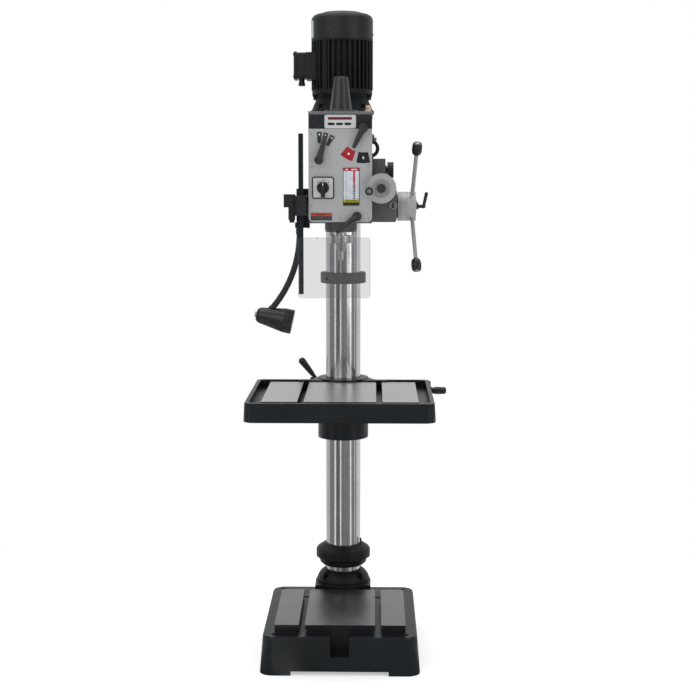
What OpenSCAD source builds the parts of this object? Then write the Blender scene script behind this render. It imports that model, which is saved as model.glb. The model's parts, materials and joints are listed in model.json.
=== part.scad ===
// Floor-standing geared-head drill press, in millimetres.
// Origin: floor level, centre of the four anchor holes of the base. +X right, +Y back, +Z up.

/* [Column and throat] */
// Outside diameter of the column tube
column_d = 115; // [113:0.5:116]
// Wall of the column tube
column_wall = 9; // [6:1:14]
// Distance from the column axis forward to the spindle axis
throat = 311.5; // [309:0.5:314]
// Height of the table face above the floor
table_z = 840; // [760:5:900]

/* [Base] */
// Width of the base at the top of its rim
base_w = 475; // [466:1:490]
// Depth of the base at the top of its rim
base_d = 524; // [520:1:530]
// Height of the rim of the base
base_h = 118; // [112:1:120]
// Height of the machined face of the base
base_face_z = 143; // [140:1:146]
// Radius of an anchor hole
anchor_r = 8; // [6:0.5:10]
// Anchor hole spacing, left to right
anchor_x = 404; // [396:1:410]
// Anchor hole spacing, front to back
anchor_y = 464; // [456:1:468]

/* [Table] */
// Width of the table over its rim
table_w = 567; // [560:1:580]
// Depth of the table over its rim
table_d = 492; // [486:1:498]
// Distance between the two T-slots of the table
slot_pitch = 238; // [230:1:244]
// Width of a T-slot at the face
slot_w = 19; // [16:1:22]

/* [Head] */
// Width of the head casting
head_w = 191; // [190:0.5:193]
// Height of the underside of the head
head_z = 1372; // [1371:0.5:1373]
// Radius of the quill
quill_r = 47; // [46:0.25:47.5]
// Length of the spindle cap cone
cap_h = 102; // [90:1:108]

/* [Motor] */
// Outer radius of the motor fins and cowl
motor_r = 97; // [94:1:99]
// Number of cooling fins
fin_count = 36; // [30:2:40]

/* [Feed] */
// Distance from the feed shaft axis to the centre of a handle knob
handle_reach = 203; // [180:1:220]
// Radius of the feed hub and depth dial
hub_r = 45; // [42:1:48]
// Radius of the fine feed handwheel
wheel_r = 45; // [40:1:46]

/* [Guard and lamp] */
// Width of the clear shield
shield_w = 219; // [190:1:219]
// Height of the clear shield
shield_h = 184; // [150:1:184]
// Largest radius of the lamp shade
shade_r = 37.5; // [34:0.5:39]

/* [Hidden] */
$fn = 96;

gap = 0.05;
eps = 0.01;
paint = [0.12, 0.12, 0.13];
dark_iron = [0.3, 0.3, 0.31];
silver = [0.62, 0.63, 0.64];
steel = [0.68, 0.68, 0.7];
black = [0.05, 0.05, 0.05];
ground_iron = [0.6, 0.6, 0.6];

col_y = 247;
col_r = column_d / 2;
spin_y = col_y - throat;
motor_y = 107;
floor_z = 1592;
adapter_z = 1718;
flange_z = 1768;
cowl_z = 1938;
base_bolt_r = 89;
fin_w = 5;
head_top = 1696;
cover_z = 1706;
panel_y = -153;

// Base
base_drop = 9;
base_wall = 16;
deck_t = 26;
pad_w = 404;
pad_y0 = -219;
pad_y1 = 147;
base_slot_pitch = 235;
pedestal_r = 93;
pedestal_z = 150;
collar_pin = [64 * cos(22), col_y - 64 * sin(22)];

// Lift rack and its pinion
rack_m = 2.5;
rack_pitch = PI * rack_m;
rack_line_y = col_y + 71.5;
lift_r = 20;
lift_teeth = 16;
crank_y = rack_line_y + lift_r;
crank_z = table_z - 38;
rack_z0 = 281.5;
rack_z1 = 1162;

// Gear train
gear_m = 2.5;
motor_teeth = 20;
counter_big = 48;
counter_small = 26;
spindle_teeth = 44;
d_motor = gear_m * (motor_teeth + counter_big) / 2;
d_spin = gear_m * (counter_small + spindle_teeth) / 2;
d_all = motor_y - spin_y;
c_along = (d_motor * d_motor - d_spin * d_spin + d_all * d_all) / (2 * d_all);
c_x = sqrt(d_motor * d_motor - c_along * c_along);
c_y = motor_y - c_along;
a_motor = atan2(c_y - motor_y, c_x);
a_spin = atan2(spin_y - c_y, -c_x);

// Quill feed
feed_m = 2.5;
feed_teeth = 18;
feed_r = feed_m * feed_teeth / 2;
feed_y = spin_y + 66;
feed_z = 1420;
quill_z0 = 1308;
quill_z1 = 1570;
worm_x = 123;
wheel_m = 2;
wheel_teeth = 38;
wheel_outer = wheel_m * wheel_teeth / 2 + 3;
worm_r = 16.6;
worm_pitch = PI * wheel_m;
worm_z = feed_z + 57;

// Front controls
left_lever = [-64, 1561];
right_lever = [69, 1656];
low_lever = [50, 1393];
switch_c = [-51.75, 1479];
cover_screw_pos = [
  [-86, 1640], [86, 1640], [-86, 1540], [86, 1545], [-86, 1425], [86, 1388], [0, 1388]
];

// Guard and lamp
pin_x = -119;
pin_y = -118;
bar_x = -118;
lamp_c = [-204.5, -95, 1078.8];
lamp_tilt = 12;
neck_x = -126;
neck_y = -95;
neck_top = 1340;
neck_seat = 1365;
neck_r = 353;
neck_bend = 40.8;
ball_x = neck_x - neck_r * (1 - cos(neck_bend)) - 1 * sin(neck_bend);
ball_z = neck_top - neck_r * sin(neck_bend) - 1 * cos(neck_bend);

// ---------- shared shapes ----------

module round_rect(w, d, r) {
  square([w - 2 * r, d], center = true);
  square([w, d - 2 * r], center = true);
  for (sx = [-1, 1], sy = [-1, 1])
    translate([sx * (w / 2 - r), sy * (d / 2 - r)])
      circle(r);
}

module block(x0, x1, y0, y1, z0, z1) {
  translate([x0, y0, z0])
    cube([x1 - x0, y1 - y0, z1 - z0]);
}

module block_r(x0, x1, y0, y1, z0, z1, r) {
  translate([(x0 + x1) / 2, (y0 + y1) / 2, z0])
    linear_extrude(z1 - z0)
      round_rect(x1 - x0, y1 - y0, r);
}

// Upright cylinder between two heights
module post(x, y, z0, z1, r, r_top) {
  translate([x, y, z0])
    cylinder(h = z1 - z0, r1 = r, r2 = r_top == undef ? r : r_top);
}

// Cylinder along +X between x0 and x1
module bar_x_dir(x0, x1, y, z, r, r_end) {
  translate([x0, y, z])
    rotate([0, 90, 0])
      cylinder(h = x1 - x0, r1 = r, r2 = r_end == undef ? r : r_end);
}

// Cylinder along +Y between y0 and y1
module bar_y_dir(x, y0, y1, z, r, r_end) {
  translate([x, y0, z])
    rotate([-90, 0, 0])
      cylinder(h = y1 - y0, r1 = r, r2 = r_end == undef ? r : r_end);
}

// Plate in the XZ plane, from y0 back to y1, with rounded corners
module plate_y(x0, x1, z0, z1, y0, y1, r) {
  translate([(x0 + x1) / 2, y1, (z0 + z1) / 2])
    rotate([90, 0, 0])
      linear_extrude(y1 - y0)
        round_rect(x1 - x0, z1 - z0, r);
}

module hex_head(r, h) {
  cylinder(h = h, r = r, $fn = 6);
}

// Block whose four sides slope out to a wider foot, with rounded upright corners
module drafted_block(w, d, drop, z0, z1, r) {
  intersection() {
    rotate([90, 0, 0])
      linear_extrude(d + 4 * drop, center = true)
        polygon([[-w / 2 - drop, z0], [w / 2 + drop, z0], [w / 2, z1], [-w / 2, z1]]);
    rotate([90, 0, 90])
      linear_extrude(w + 4 * drop, center = true)
        polygon([[-d / 2 - drop, z0], [d / 2 + drop, z0], [d / 2, z1], [-d / 2, z1]]);
    translate([0, 0, z0])
      linear_extrude(z1 - z0)
        round_rect(w + 2 * drop, d + 2 * drop, r);
  }
}

module cast_block(w, d, drop, z0, z1, r, lip) {
  w0 = w + 2 * drop;
  d0 = d + 2 * drop;
  translate([0, 0, z0])
    linear_extrude(z1 - lip - z0, scale = [w / w0, d / d0], slices = 1,
      $fn = 48)
      round_rect(w0, d0, r);
  translate([0, 0, z1 - lip])
    linear_extrude(lip, scale = [(w - lip) / w, (d - lip) / d], slices = 1,
      $fn = 48)
      round_rect(w, d, r * 0.97);
}

// Spur gear outline with straight-sided teeth, one tooth centred on +X
module gear_outline(m, teeth) {
  r = m * teeth / 2;
  step = 360 / teeth;
  root = r - 1.2 * m;
  tip = r + 0.85 * m;
  polygon([
    for (i = [0:teeth - 1], k = [0:3])
      let (
        a = i * step + [-0.345, -0.13, 0.13, 0.345][k] * step,
        rr = [root, tip, tip, root][k]
      )
      [rr * cos(a), rr * sin(a)]
  ]);
}

module gear(m, teeth, h) {
  linear_extrude(h)
    gear_outline(m, teeth);
}

// Toothed strip outline: teeth point to +X, root line at -1.2 m, one gap centred on y = 0
module rack_outline(m, below, above, back) {
  p = m * PI;
  polygon(concat(
    [[back, (above + 0.5) * p], [back, -(below + 0.5) * p]],
    [
      for (i = [-below:above - 1], k = [0:3])
        [[-1.2 * m, 0.85 * m, 0.85 * m, -1.2 * m][k], (i + 0.5 + [-0.345, -0.13, 0.13, 0.345][k]) * p]
    ]
  ));
}

// ---------- stand ----------

module t_slot(x, w, y0, y1, z_top) {
  block(x - w / 2, x + w / 2, y0, y1, z_top - 14, z_top + 1);
  block(x - w * 0.85, x + w * 0.85, y0, y1, z_top - 27, z_top - 13.9);
}

module base_casting() {
  inner_w = base_w - 2 * base_wall;
  inner_d = base_d - 2 * base_wall;
  cell_w = (inner_w - 32) / 3;
  cell_d = (inner_d - 32) / 3;
  color(paint)
  difference() {
    union() {
      difference() {
        cast_block(base_w, base_d, base_drop, 0, base_h, 38, 6);
        for (i = [-1:1], j = [-1:1])
          translate([i * (cell_w + 16), j * (cell_d + 16), -1])
            linear_extrude(base_h - deck_t - 1)
              round_rect(cell_w, cell_d, 14);
      }
      block_r(-pad_w / 2, pad_w / 2, pad_y0, pad_y1, base_h - 2, base_face_z, 6);
      for (sx = [-1, 1], sy = [-1, 1])
        post(sx * anchor_x / 2, sy * anchor_y / 2, 0, base_h - 10, 25);
      post(0, col_y, 0, pedestal_z, pedestal_r);
      block(-pedestal_r, pedestal_r, 170, col_y, 0, pedestal_z);
      block(-45, 45, -base_d / 2 + 2, pad_y0 + 14, 40, base_h);
    }
    post(0, col_y, -1, pedestal_z - 40, pedestal_r - 20);
    for (sx = [-1, 1])
      t_slot(sx * base_slot_pitch / 2, slot_w, pad_y0 - 1, pad_y1 + 1, base_face_z);
    for (sx = [-1, 1], sy = [-1, 1])
      post(sx * anchor_x / 2, sy * anchor_y / 2, -1, base_h + 1, anchor_r);
    block(-29, 29, -base_d / 2 - 20, pad_y0, 57, base_h + 1);
    block(-150, 150, -400, 170, -1, 13);
    block(-300, 300, -165, 165, -1, 13);
    for (a = [45:90:315])
      post(74 * cos(a), col_y + 74 * sin(a), pedestal_z - 30, pedestal_z + 1, 6);
  }
}

module column_flange() {
  color(paint)
  difference() {
    translate([0, col_y, 0])
      rotate_extrude()
        polygon([
          [col_r, 150], [88, 150], [88, 158], [86, 165], [82, 172], [76, 180], [69, 186], [col_r + 3, 191],
          [col_r, 191]
        ]);
    for (a = [45:90:315]) {
      post(74 * cos(a), col_y + 74 * sin(a), 162, 200, 12.5);
      post(74 * cos(a), col_y + 74 * sin(a), 149, 170, 6);
    }
  }
}

module flange_bolts() {
  color(black)
  for (a = [45:90:315])
    translate([74 * cos(a), col_y + 74 * sin(a), 0]) {
      translate([0, 0, 162])
        hex_head(10.5, 8);
      translate([0, 0, 120])
        cylinder(h = 42, r = 6);
    }
}

module column() {
  color(steel)
  difference() {
    post(0, col_y, 150, 1680, col_r);
    post(0, col_y, 149, 1681, col_r - column_wall);
  }
}

module lower_rack_collar() {
  color(paint)
  difference() {
    translate([0, col_y, 0])
      rotate_extrude()
        polygon([
          [col_r, 208], [70, 208], [78, 215], [80, 226], [91, 234], [91, 258], [86, 265], [63, 280],
          [col_r, 280]
        ]);
    translate([-62, col_y - 62, 246])
      rotate([0, 90, 45])
        cylinder(h = 60, r = 5, center = true);
    post(collar_pin[0], collar_pin[1], 255, 290, 3);
  }
}

module upper_rack_collar() {
  color(dark_iron)
  difference() {
    translate([0, col_y, 0])
      rotate_extrude()
        polygon([[col_r, 1163], [73, 1163], [75, 1165], [75, 1196], [73, 1198], [col_r, 1198]]);
    translate([-50, col_y - 50, 1180])
      rotate([0, 90, 45])
        cylinder(h = 60, r = 5, center = true);
  }
}

module collar_screws() {
  color(black) {
    translate([-62, col_y - 62, 246])
      rotate([0, 90, 45])
        translate([0, 0, -2])
          cylinder(h = 32, r = 5);
    translate([-50, col_y - 50, 1180])
      rotate([0, 90, 45])
        translate([0, 0, -6])
          cylinder(h = 19, r = 5);
    post(collar_pin[0], collar_pin[1], 255, 300, 3);
  }
}

// ---------- table ----------

module table_rack() {
  below = floor((crank_z - rack_z0) / rack_pitch - 0.5);
  above = floor((rack_z1 - crank_z) / rack_pitch - 0.5);
  color(steel)
  difference() {
    union() {
      translate([0, rack_line_y, crank_z])
        rotate([90, 0, 90])
          linear_extrude(22, center = true)
            rack_outline(rack_m, below, above, -24);
      block(-11, 11, rack_line_y - 24, rack_line_y - 3, rack_z0, rack_z1);
    }
    post(0, col_y, 200, 1300, col_r + gap);
  }
}

module table_pinion() {
  color(steel)
  translate([0, crank_y, crank_z])
    rotate([0, 90, 0])
      translate([0, 0, -14])
        difference() {
          rotate([0, 0, -90])
            gear(rack_m, lift_teeth, 28);
          translate([0, 0, -1])
            cylinder(h = 30, r = 10);
        }
}

module work_table() {
  rim = 12;
  rim_z = table_z + 4;
  foot_z = table_z - 54;
  plate_z = table_z - 34;
  mid_y = 204 - table_d / 2;
  in_w = table_w - 2 * rim;
  in_d = table_d - 2 * rim;
  cell_w = (in_w - 24) / 3;
  cell_d = (in_d - 24) / 3;
  sleeve_r = 84;
  sleeve_z = table_z - 195;
  pad_x = 237.5;
  color(paint)
  difference() {
    union() {
      difference() {
        translate([0, mid_y, 0])
          drafted_block(table_w, table_d, 4, foot_z, rim_z, 34);
        translate([0, mid_y, table_z - 20])
          linear_extrude(40)
            round_rect(in_w, in_d, 24);
        for (i = [-1:1], j = [-1:1])
          translate([i * (cell_w + 12), mid_y + j * (cell_d + 12), foot_z - 1])
            linear_extrude(plate_z - foot_z + 1)
              round_rect(cell_w, cell_d, 12);
      }
      block_r(-pad_x, pad_x, -231, 172, table_z - 21, table_z, 3);
      post(0, col_y, sleeve_z, table_z + 6, sleeve_r);
      for (sx = [-1, 1])
        difference() {
          block(sx * 105 - 40, sx * 105 + 40, 180, 246, foot_z, rim_z);
          post(sx * 146, 247, foot_z - 1, rim_z + 1, 55);
        }
      block(-34, 40, col_y + 60, crank_y + 30, crank_z - 34, crank_z + 34);
      bar_x_dir(40, 160, crank_y, crank_z, 19);
      block(-112, -58, col_y + 8, col_y + 64, table_z - 52, table_z - 4);
    }
    post(0, col_y, sleeve_z - 1, table_z + 7, col_r + gap);
    block(-11.5, 11.5, col_y, rack_line_y + 3, sleeve_z - 1, table_z + 7);
    bar_x_dir(-15, 15, crank_y, crank_z, 23.5);
    block(-15, 15, rack_line_y - 2, crank_y, crank_z - 23.5, crank_z + 23.5);
    bar_x_dir(-26, 161, crank_y, crank_z, 10 + gap);
    for (sx = [-1, 1])
      t_slot(sx * slot_pitch / 2, slot_w, -231.5, 172.5, table_z);
    bar_y_dir(-82, col_y, col_y + 65, table_z - 27, 6 + gap);
  }
}

module table_clamp_lever() {
  y = col_y + 64.5;
  z = table_z - 27;
  color(black)
  union() {
    bar_y_dir(-82, col_y + 20, y + 1, z, 6);
    bar_y_dir(-82, y, y + 22, z, 14);
    translate([-82, y + 11, z])
      rotate([0, -38, 0]) {
        cylinder(h = 40, r1 = 7, r2 = 6.5);
        translate([0, 0, 38])
          cylinder(h = 59, r1 = 8, r2 = 12.5);
        translate([0, 0, 96])
          sphere(12.3);
      }
  }
}

module elevating_crank() {
  color(dark_iron)
  union() {
    bar_x_dir(-25, 284, crank_y, crank_z, 10);
    bar_x_dir(282, 296, crank_y, crank_z, 17);
    block(283, 295, crank_y - 100, crank_y, crank_z - 9, crank_z + 9);
    bar_x_dir(282, 296, crank_y - 100, crank_z, 12);
    bar_x_dir(296, 344, crank_y - 100, crank_z, 5);
    bar_x_dir(341.5, 344, crank_y - 100, crank_z, 8);
  }
}

module crank_grip() {
  color(black)
  difference() {
    union() {
      bar_x_dir(296.4, 312, crank_y - 100, crank_z, 10, 12.5);
      bar_x_dir(312, 341, crank_y - 100, crank_z, 12.5, 11.5);
    }
    bar_x_dir(290, 350, crank_y - 100, crank_z, 5 + gap);
  }
}

// ---------- head ----------

module head_casting() {
  hw = head_w / 2;
  color(dark_iron)
  difference() {
    union() {
      block(-hw + 1, hw - 1, -140, col_y, head_z, head_top);
      post(0, col_y, head_z, head_top, 90);
      block_r(-hw, hw, panel_y, -120, 1654, head_top, 3);
      post(0, spin_y, 1350, head_z + 1, quill_r + 2.5);
      post(0, spin_y, 1344, 1351, quill_r + 1);
      for (z = [head_z + 60, head_top - 60])
        bar_x_dir(60, hw + 6, col_y + 62, z, 15);
    }
    post(0, col_y, head_z - 1, 1681, col_r + gap);
    post(0, spin_y, head_z - 40, quill_z1 + 8, quill_r + gap);
    post(0, spin_y, quill_z1 + 7, floor_z + 1, 22 + gap);
    block_r(-80, 80, -128, 162, floor_z, head_top + 1, 8);
    post(c_x, c_y, floor_z - 12, floor_z + 1, 12 + gap);
    block_r(-76, 76, 44, 166, head_z - 5, 1570, 14);
    bar_x_dir(-24, hw + 1, feed_y, feed_z, 26);
    bar_x_dir(-62, -23, feed_y, feed_z, 11 + gap);
    bar_y_dir(left_lever[0], -141, -118, left_lever[1], 6 + gap);
    bar_y_dir(right_lever[0], -160, -118, right_lever[1], 6 + gap);
    bar_y_dir(low_lever[0], -141, -118, low_lever[1], 6 + gap);
    bar_y_dir(switch_c[0], -141, -120, switch_c[1], 20);
    for (p = cover_screw_pos)
      bar_y_dir(p[0], -145, -128, p[1], 3);
    for (z = [head_z + 60, head_top - 60])
      bar_x_dir(60, hw + 7, col_y + 62, z, 8);
  }
}

module front_cover() {
  hw = head_w / 2;
  color(silver)
  difference() {
    union() {
      plate_y(-hw, hw, 1376, 1500, panel_y, -140, 14);
      block(-hw, hw, panel_y, -140, 1400, 1654);
    }
    bar_y_dir(left_lever[0], -160, -139, left_lever[1], 6 + gap);
    bar_y_dir(right_lever[0], -160, -139, right_lever[1], 6 + gap);
    bar_y_dir(low_lever[0], -160, -139, low_lever[1], 6 + gap);
    bar_y_dir(switch_c[0], -160, -139, switch_c[1], 5 + gap);
    for (p = cover_screw_pos) {
      bar_y_dir(p[0], -160, -139, p[1], 3);
      bar_y_dir(p[0], -160, -149, p[1], 5.5);
    }
  }
}

module cover_screws() {
  color(black) {
    for (p = cover_screw_pos)
      difference() {
        union() {
          bar_y_dir(p[0], -153, -149, p[1], 5.5);
          bar_y_dir(p[0], -149, -130, p[1], 3);
        }
        bar_y_dir(p[0], -154, -151, p[1], 2.5);
      }
    for (z = [head_z + 60, head_top - 60])
      bar_x_dir(64, head_w / 2 + 14, col_y + 62, z, 8);
  }
}

module top_cover() {
  color(dark_iron)
  difference() {
    block_r(-96.5, 96.5, -150, 208, head_top, cover_z, 10);
    post(0, spin_y, head_top - 1, head_top + 6, 22 + gap);
    post(0, spin_y, head_top - 1, cover_z + 1, 18);
    post(c_x, c_y, head_top - 1, head_top + 5, 12 + gap);
    post(0, motor_y, head_top - 1, cover_z + 1, 30);
    post(82, -113, cover_z - 6, cover_z + 1, 6);
    for (a = [45:90:315])
      post(base_bolt_r * cos(a), motor_y + base_bolt_r * sin(a), cover_z - 8, cover_z + 1, 4);
  }
}

module spindle_cap() {
  color(paint)
  translate([0, spin_y, cover_z])
    difference() {
      rotate_extrude()
        polygon([
          [0, 0], [52, 0], [52, 4], [50, 6], [34, 6], [33, 10], [21.5, cap_h + 1], [19.5, cap_h + 4],
          [15, cap_h + 6], [0, cap_h + 7]
        ]);
      translate([0, 0, -1])
        cylinder(h = cap_h - 4, r1 = 26, r2 = 16);
    }
}

module oil_filler_plug() {
  color([0.75, 0.58, 0.3])
  translate([82, -113, 0]) {
    post(0, 0, cover_z - 6, cover_z + 0.5, 6);
    post(0, 0, cover_z, cover_z + 4, 9.5);
    translate([0, 0, cover_z + 4])
      hex_head(9.5, 9);
    post(0, 0, cover_z + 13, cover_z + 18, 7.5);
  }
}

module motor_adapter() {
  color(paint)
  translate([0, motor_y, 0])
    difference() {
      union() {
        rotate_extrude()
          polygon([
            [40, cover_z], [99, cover_z], [100.5, cover_z + 2], [100.5, adapter_z], [96, adapter_z + 3],
            [79, 1762], [79, flange_z], [40, flange_z]
          ]);
        for (a = [0:90:270])
          translate([84 * cos(a), 84 * sin(a), flange_z - 14])
            cylinder(h = 14, r1 = 6, r2 = 11);
      }
      translate([0, 0, cover_z - 1])
        cylinder(h = 80, r = 55);
      for (a = [45:90:315])
        translate([base_bolt_r * cos(a), base_bolt_r * sin(a), 0]) {
          post(0, 0, adapter_z, adapter_z + 20, 11);
          post(0, 0, cover_z - 1, adapter_z + 1, 4);
        }
      for (a = [0:90:270])
        translate([84 * cos(a), 84 * sin(a), 0]) {
          post(0, 0, adapter_z + 10, flange_z - 9, 9);
          post(0, 0, flange_z - 12, flange_z + 1, 4);
        }
    }
}

module motor_frame() {
  color(paint)
  translate([0, motor_y, 0])
    difference() {
      union() {
        post(0, 0, flange_z, flange_z + 16, motor_r - 2);
        post(0, 0, flange_z + 15, cowl_z, 86);
        post(0, 0, cowl_z - 6, cowl_z, motor_r);
        block(-76, -56, -58, 58, 1808, cowl_z - 4);
        for (i = [0:fin_count - 1])
          rotate([0, 0, (i + 0.5) * 360 / fin_count])
            block(80, motor_r, -fin_w / 2, fin_w / 2, flange_z + 14, cowl_z - 5);
        rotate([0, 0, 236.5])
          block(80, motor_r, -8.5, 8.5, flange_z + 14, cowl_z - 5);
      }
      post(0, 0, 1790, cowl_z - 9, 76);
      post(0, 0, 1760, cowl_z + 20, 12 + gap);
      block(-112, -76, -47, 47, 1814, 1898);
      for (a = [0:90:270])
        post(84 * cos(a), 84 * sin(a), flange_z - 1, flange_z + 12, 4);
    }
}

module motor_stator() {
  color([0.7, 0.4, 0.2])
  translate([0, motor_y, 0])
    difference() {
      union() {
        translate([0, 0, 1812])
          cylinder(h = 100, r = 76);
        translate([0, 0, 1798])
          cylinder(h = 128, r = 66);
      }
      translate([0, 0, 1790])
        cylinder(h = 150, r = 52);
    }
}

module fan_cowl() {
  color(paint)
  translate([0, motor_y, 0])
    difference() {
      rotate_extrude()
        polygon([
          [motor_r - 3, cowl_z], [motor_r, cowl_z], [motor_r, cowl_z + 61], [motor_r - 1.5, cowl_z + 67],
          [motor_r - 6, cowl_z + 73], [motor_r - 14, cowl_z + 78], [66, cowl_z + 82], [58, cowl_z + 85],
          [0, cowl_z + 85], [0, cowl_z + 82], [57, cowl_z + 82], [65, cowl_z + 79],
          [motor_r - 16, cowl_z + 75],
          [motor_r - 8.5, cowl_z + 70], [motor_r - 4.5, cowl_z + 65], [motor_r - 3, cowl_z + 60]
        ]);
      for (i = [-5:5])
        translate([i * 10, 0, cowl_z + 84])
          cube([4, 2 * sqrt(56 * 56 - i * i * 100), 12], center = true);
    }
}

module adapter_bolts() {
  color(silver) {
    for (a = [45:90:315])
      translate([base_bolt_r * cos(a), motor_y + base_bolt_r * sin(a), 0]) {
        translate([0, 0, adapter_z])
          hex_head(8, 7);
        post(0, 0, cover_z - 8, adapter_z + 1, 4);
      }
    for (a = [0:90:270])
      translate([84 * cos(a), motor_y + 84 * sin(a), 0]) {
        translate([0, 0, flange_z - 16])
          hex_head(7.5, 7);
        post(0, 0, flange_z - 10, flange_z + 10, 4);
      }
  }
}

module terminal_box() {
  color(paint)
  union() {
    block(-112, -76, 60, 154, 1814, 1898);
    translate([-112, motor_y, 1858])
      rotate([0, -90, 0])
        linear_extrude(30)
          round_rect(80, 84, 8);
    translate([-142, motor_y, 1858])
      rotate([0, -90, 0])
        linear_extrude(9)
          round_rect(86, 90, 10);
    for (sy = [-1, 1], sz = [-1, 1])
      bar_x_dir(-153, -150, motor_y + sy * 36, 1858 + sz * 34, 4);
    post(-127, motor_y - 18, 1804, 1820, 9);
    translate([-127, motor_y - 18, 1795])
      hex_head(10.5, 10);
  }
}

module fan_mark(a, r0, r1, half) {
  translate([left_lever[0], panel_y, left_lever[1]])
    rotate([90, 0, 0])
      linear_extrude(0.8)
        polygon([
          for (k = [0:3])
            let (
              rr = [r0, r1, r1, r0][k],
              b = a + [-half, -half, half, half][k]
            )
            [rr * sin(b), rr * cos(b)]
        ]);
}

module sector_mark(a, r0, r1, half) {
  translate([right_lever[0], panel_y, right_lever[1]])
    rotate([90, 0, 0])
      linear_extrude(0.8)
        polygon([
          for (k = [0:7])
            let (
              rr = k < 2 ? r0 : r1,
              b = a + [-half, half, half, half * 0.6, half * 0.2, -half * 0.2, -half * 0.6, -half][k]
            )
            [rr * sin(b), -rr * cos(b)]
        ]);
}

module front_plates() {
  color(black)
  for (a = [0, 16, 33])
    fan_mark(a, 50, 84, 5.2);
  color([0.5, 0.05, 0.08])
  sector_mark(-30, 72, 104, 11.5);
  color(black)
  sector_mark(0, 72, 104, 11);
  color([0.85, 0.86, 0.9])
  plate_y(8, 58, 1425, 1539, panel_y - 0.8, panel_y, 2);
  color([0.8, 0.35, 0.1])
  plate_y(-89, -25, 1381, 1404, panel_y - 0.8, panel_y, 1);
  color(silver)
  plate_y(-47, 47, 1655, 1695, panel_y - 2, panel_y, 4);
}

module switch_plate() {
  color(silver)
  difference() {
    translate([switch_c[0], 0, switch_c[1]])
      plate_y(-33.25, 33.25, -33, 33, panel_y - 3, panel_y, 6);
    bar_y_dir(switch_c[0], -160, -150, switch_c[1], 5 + gap);
  }
}

module feed_housing() {
  hw = head_w / 2 - 1;
  color(dark_iron)
  difference() {
    union() {
      intersection() {
        translate([hw, 0, 0])
          rotate([90, 0, 90])
            linear_extrude(80)
              polygon([
                [-100, 1386], [-88, 1374], [64, 1374], [76, 1386], [76, 1460], [64, 1473],
                [34, 1473], [34, 1507],
                [-76, 1507], [-84, 1473], [-100, 1473]
              ]);
        translate([0, 80, 0])
          rotate([90, 0, 0])
            linear_extrude(200)
              polygon([
                [hw, 1370], [162, 1370], [168, 1376], [171, 1382], [171, 1467], [156, 1507.5], [hw, 1507.5]
              ]);
      }
      block(hw, 136, -110, 34, 1460, 1566);
      bar_x_dir(135, 141, -53, 1532, 14);
      bar_x_dir(170, 174.6, feed_y, feed_z, 36);
      bar_x_dir(62, hw + 1, feed_y, feed_z, 26);
      bar_y_dir(worm_x, -112, -100, worm_z, 24);
    }
    bar_x_dir(60, 180, feed_y, feed_z, 11 + gap);
    bar_x_dir(108, 138, feed_y, feed_z, wheel_outer + 0.6);
    bar_y_dir(worm_x, -60, 32, worm_z, 17);
    bar_y_dir(worm_x, -120, 35, worm_z, 8 + gap);
    bar_x_dir(125, 143, -53, 1532, 8 + gap);
  }
}

module wiring_conduit() {
  color(black)
  difference() {
    translate([89, -70, 1597])
      rotate([90, 0, 0])
        rotate_extrude()
          translate([23, 0])
            circle(6);
    block(0, head_w / 2 - 1, -100, -40, 1500, 1700);
  }
}

module guard_bracket() {
  color(paint)
  difference() {
    union() {
      block(-100, -head_w / 2 + 1, -138, -84, neck_seat - 8, 1476);
      for (z = [1374, 1455.4])
        translate([0, 0, z]) {
          post(pin_x, pin_y, 0, 20.6, 15);
          block(pin_x, -98, pin_y - 13, pin_y + 13, 0, 20.6);
        }
      post(pin_x, pin_y, 1375, 1476, 5);
      post(neck_x, neck_y, neck_seat - 8, neck_seat + 8, 14);
      block(neck_x, -98, neck_y - 14, neck_y + 14, neck_seat - 8, neck_seat + 8);
    }
    post(neck_x, neck_y, neck_seat - 10, neck_seat, 11);
  }
}

module guard_block() {
  color(paint)
  difference() {
    union() {
      post(pin_x, pin_y, 1395, 1455, 15);
      block(-138, -101, -156.4, pin_y, 1395, 1455);
      block(-133, -103, -168, -156, 1395, 1455);
    }
    post(pin_x, pin_y, 1390, 1460, 5 + gap);
    block(bar_x - 7.6, bar_x + 7.6, -163.35, -157.65, 1390, 1460);
  }
}

module guard_switch_box() {
  color(black)
  union() {
    block_r(-171, -138, -150, -104, 1420, 1459, 3);
    block_r(-157, -138, -147, -108, 1382, 1421, 3);
    block_r(-154, -140, -142, -113, 1374, 1383, 3);
  }
}

module guard_bar() {
  color(black)
  block(bar_x - 7.25, bar_x + 7.25, -163, -158, 1159, 1640);
}

module guard_shield() {
  x0 = -128;
  x1 = x0 + shield_w;
  z1 = 1331;
  z0 = z1 - shield_h;
  color([0.85, 0.9, 0.95, 0.4])
  union() {
    plate_y(x0, x1, z0, z1, -166, -163, 9);
    block(x1 - 3, x1, -166, -140, z0 + 9, z1 - 9);
  }
}

// One arc from the bracket down to the ball on the lamp
module lamp_gooseneck() {
  color(black)
  union() {
    post(neck_x, neck_y, neck_top - 4, neck_seat, 11);
    translate([neck_x - neck_r, neck_y, neck_top])
      rotate([90, 0, 0])
        rotate([0, 0, -neck_bend])
          rotate_extrude(angle = neck_bend)
            translate([neck_r, 0])
              circle(9.6);
    translate([ball_x, neck_y, ball_z])
      sphere(11);
  }
}

module lamp_axis() {
  translate(lamp_c)
    rotate([0, 90 + lamp_tilt, 0])
      children();
}

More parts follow.
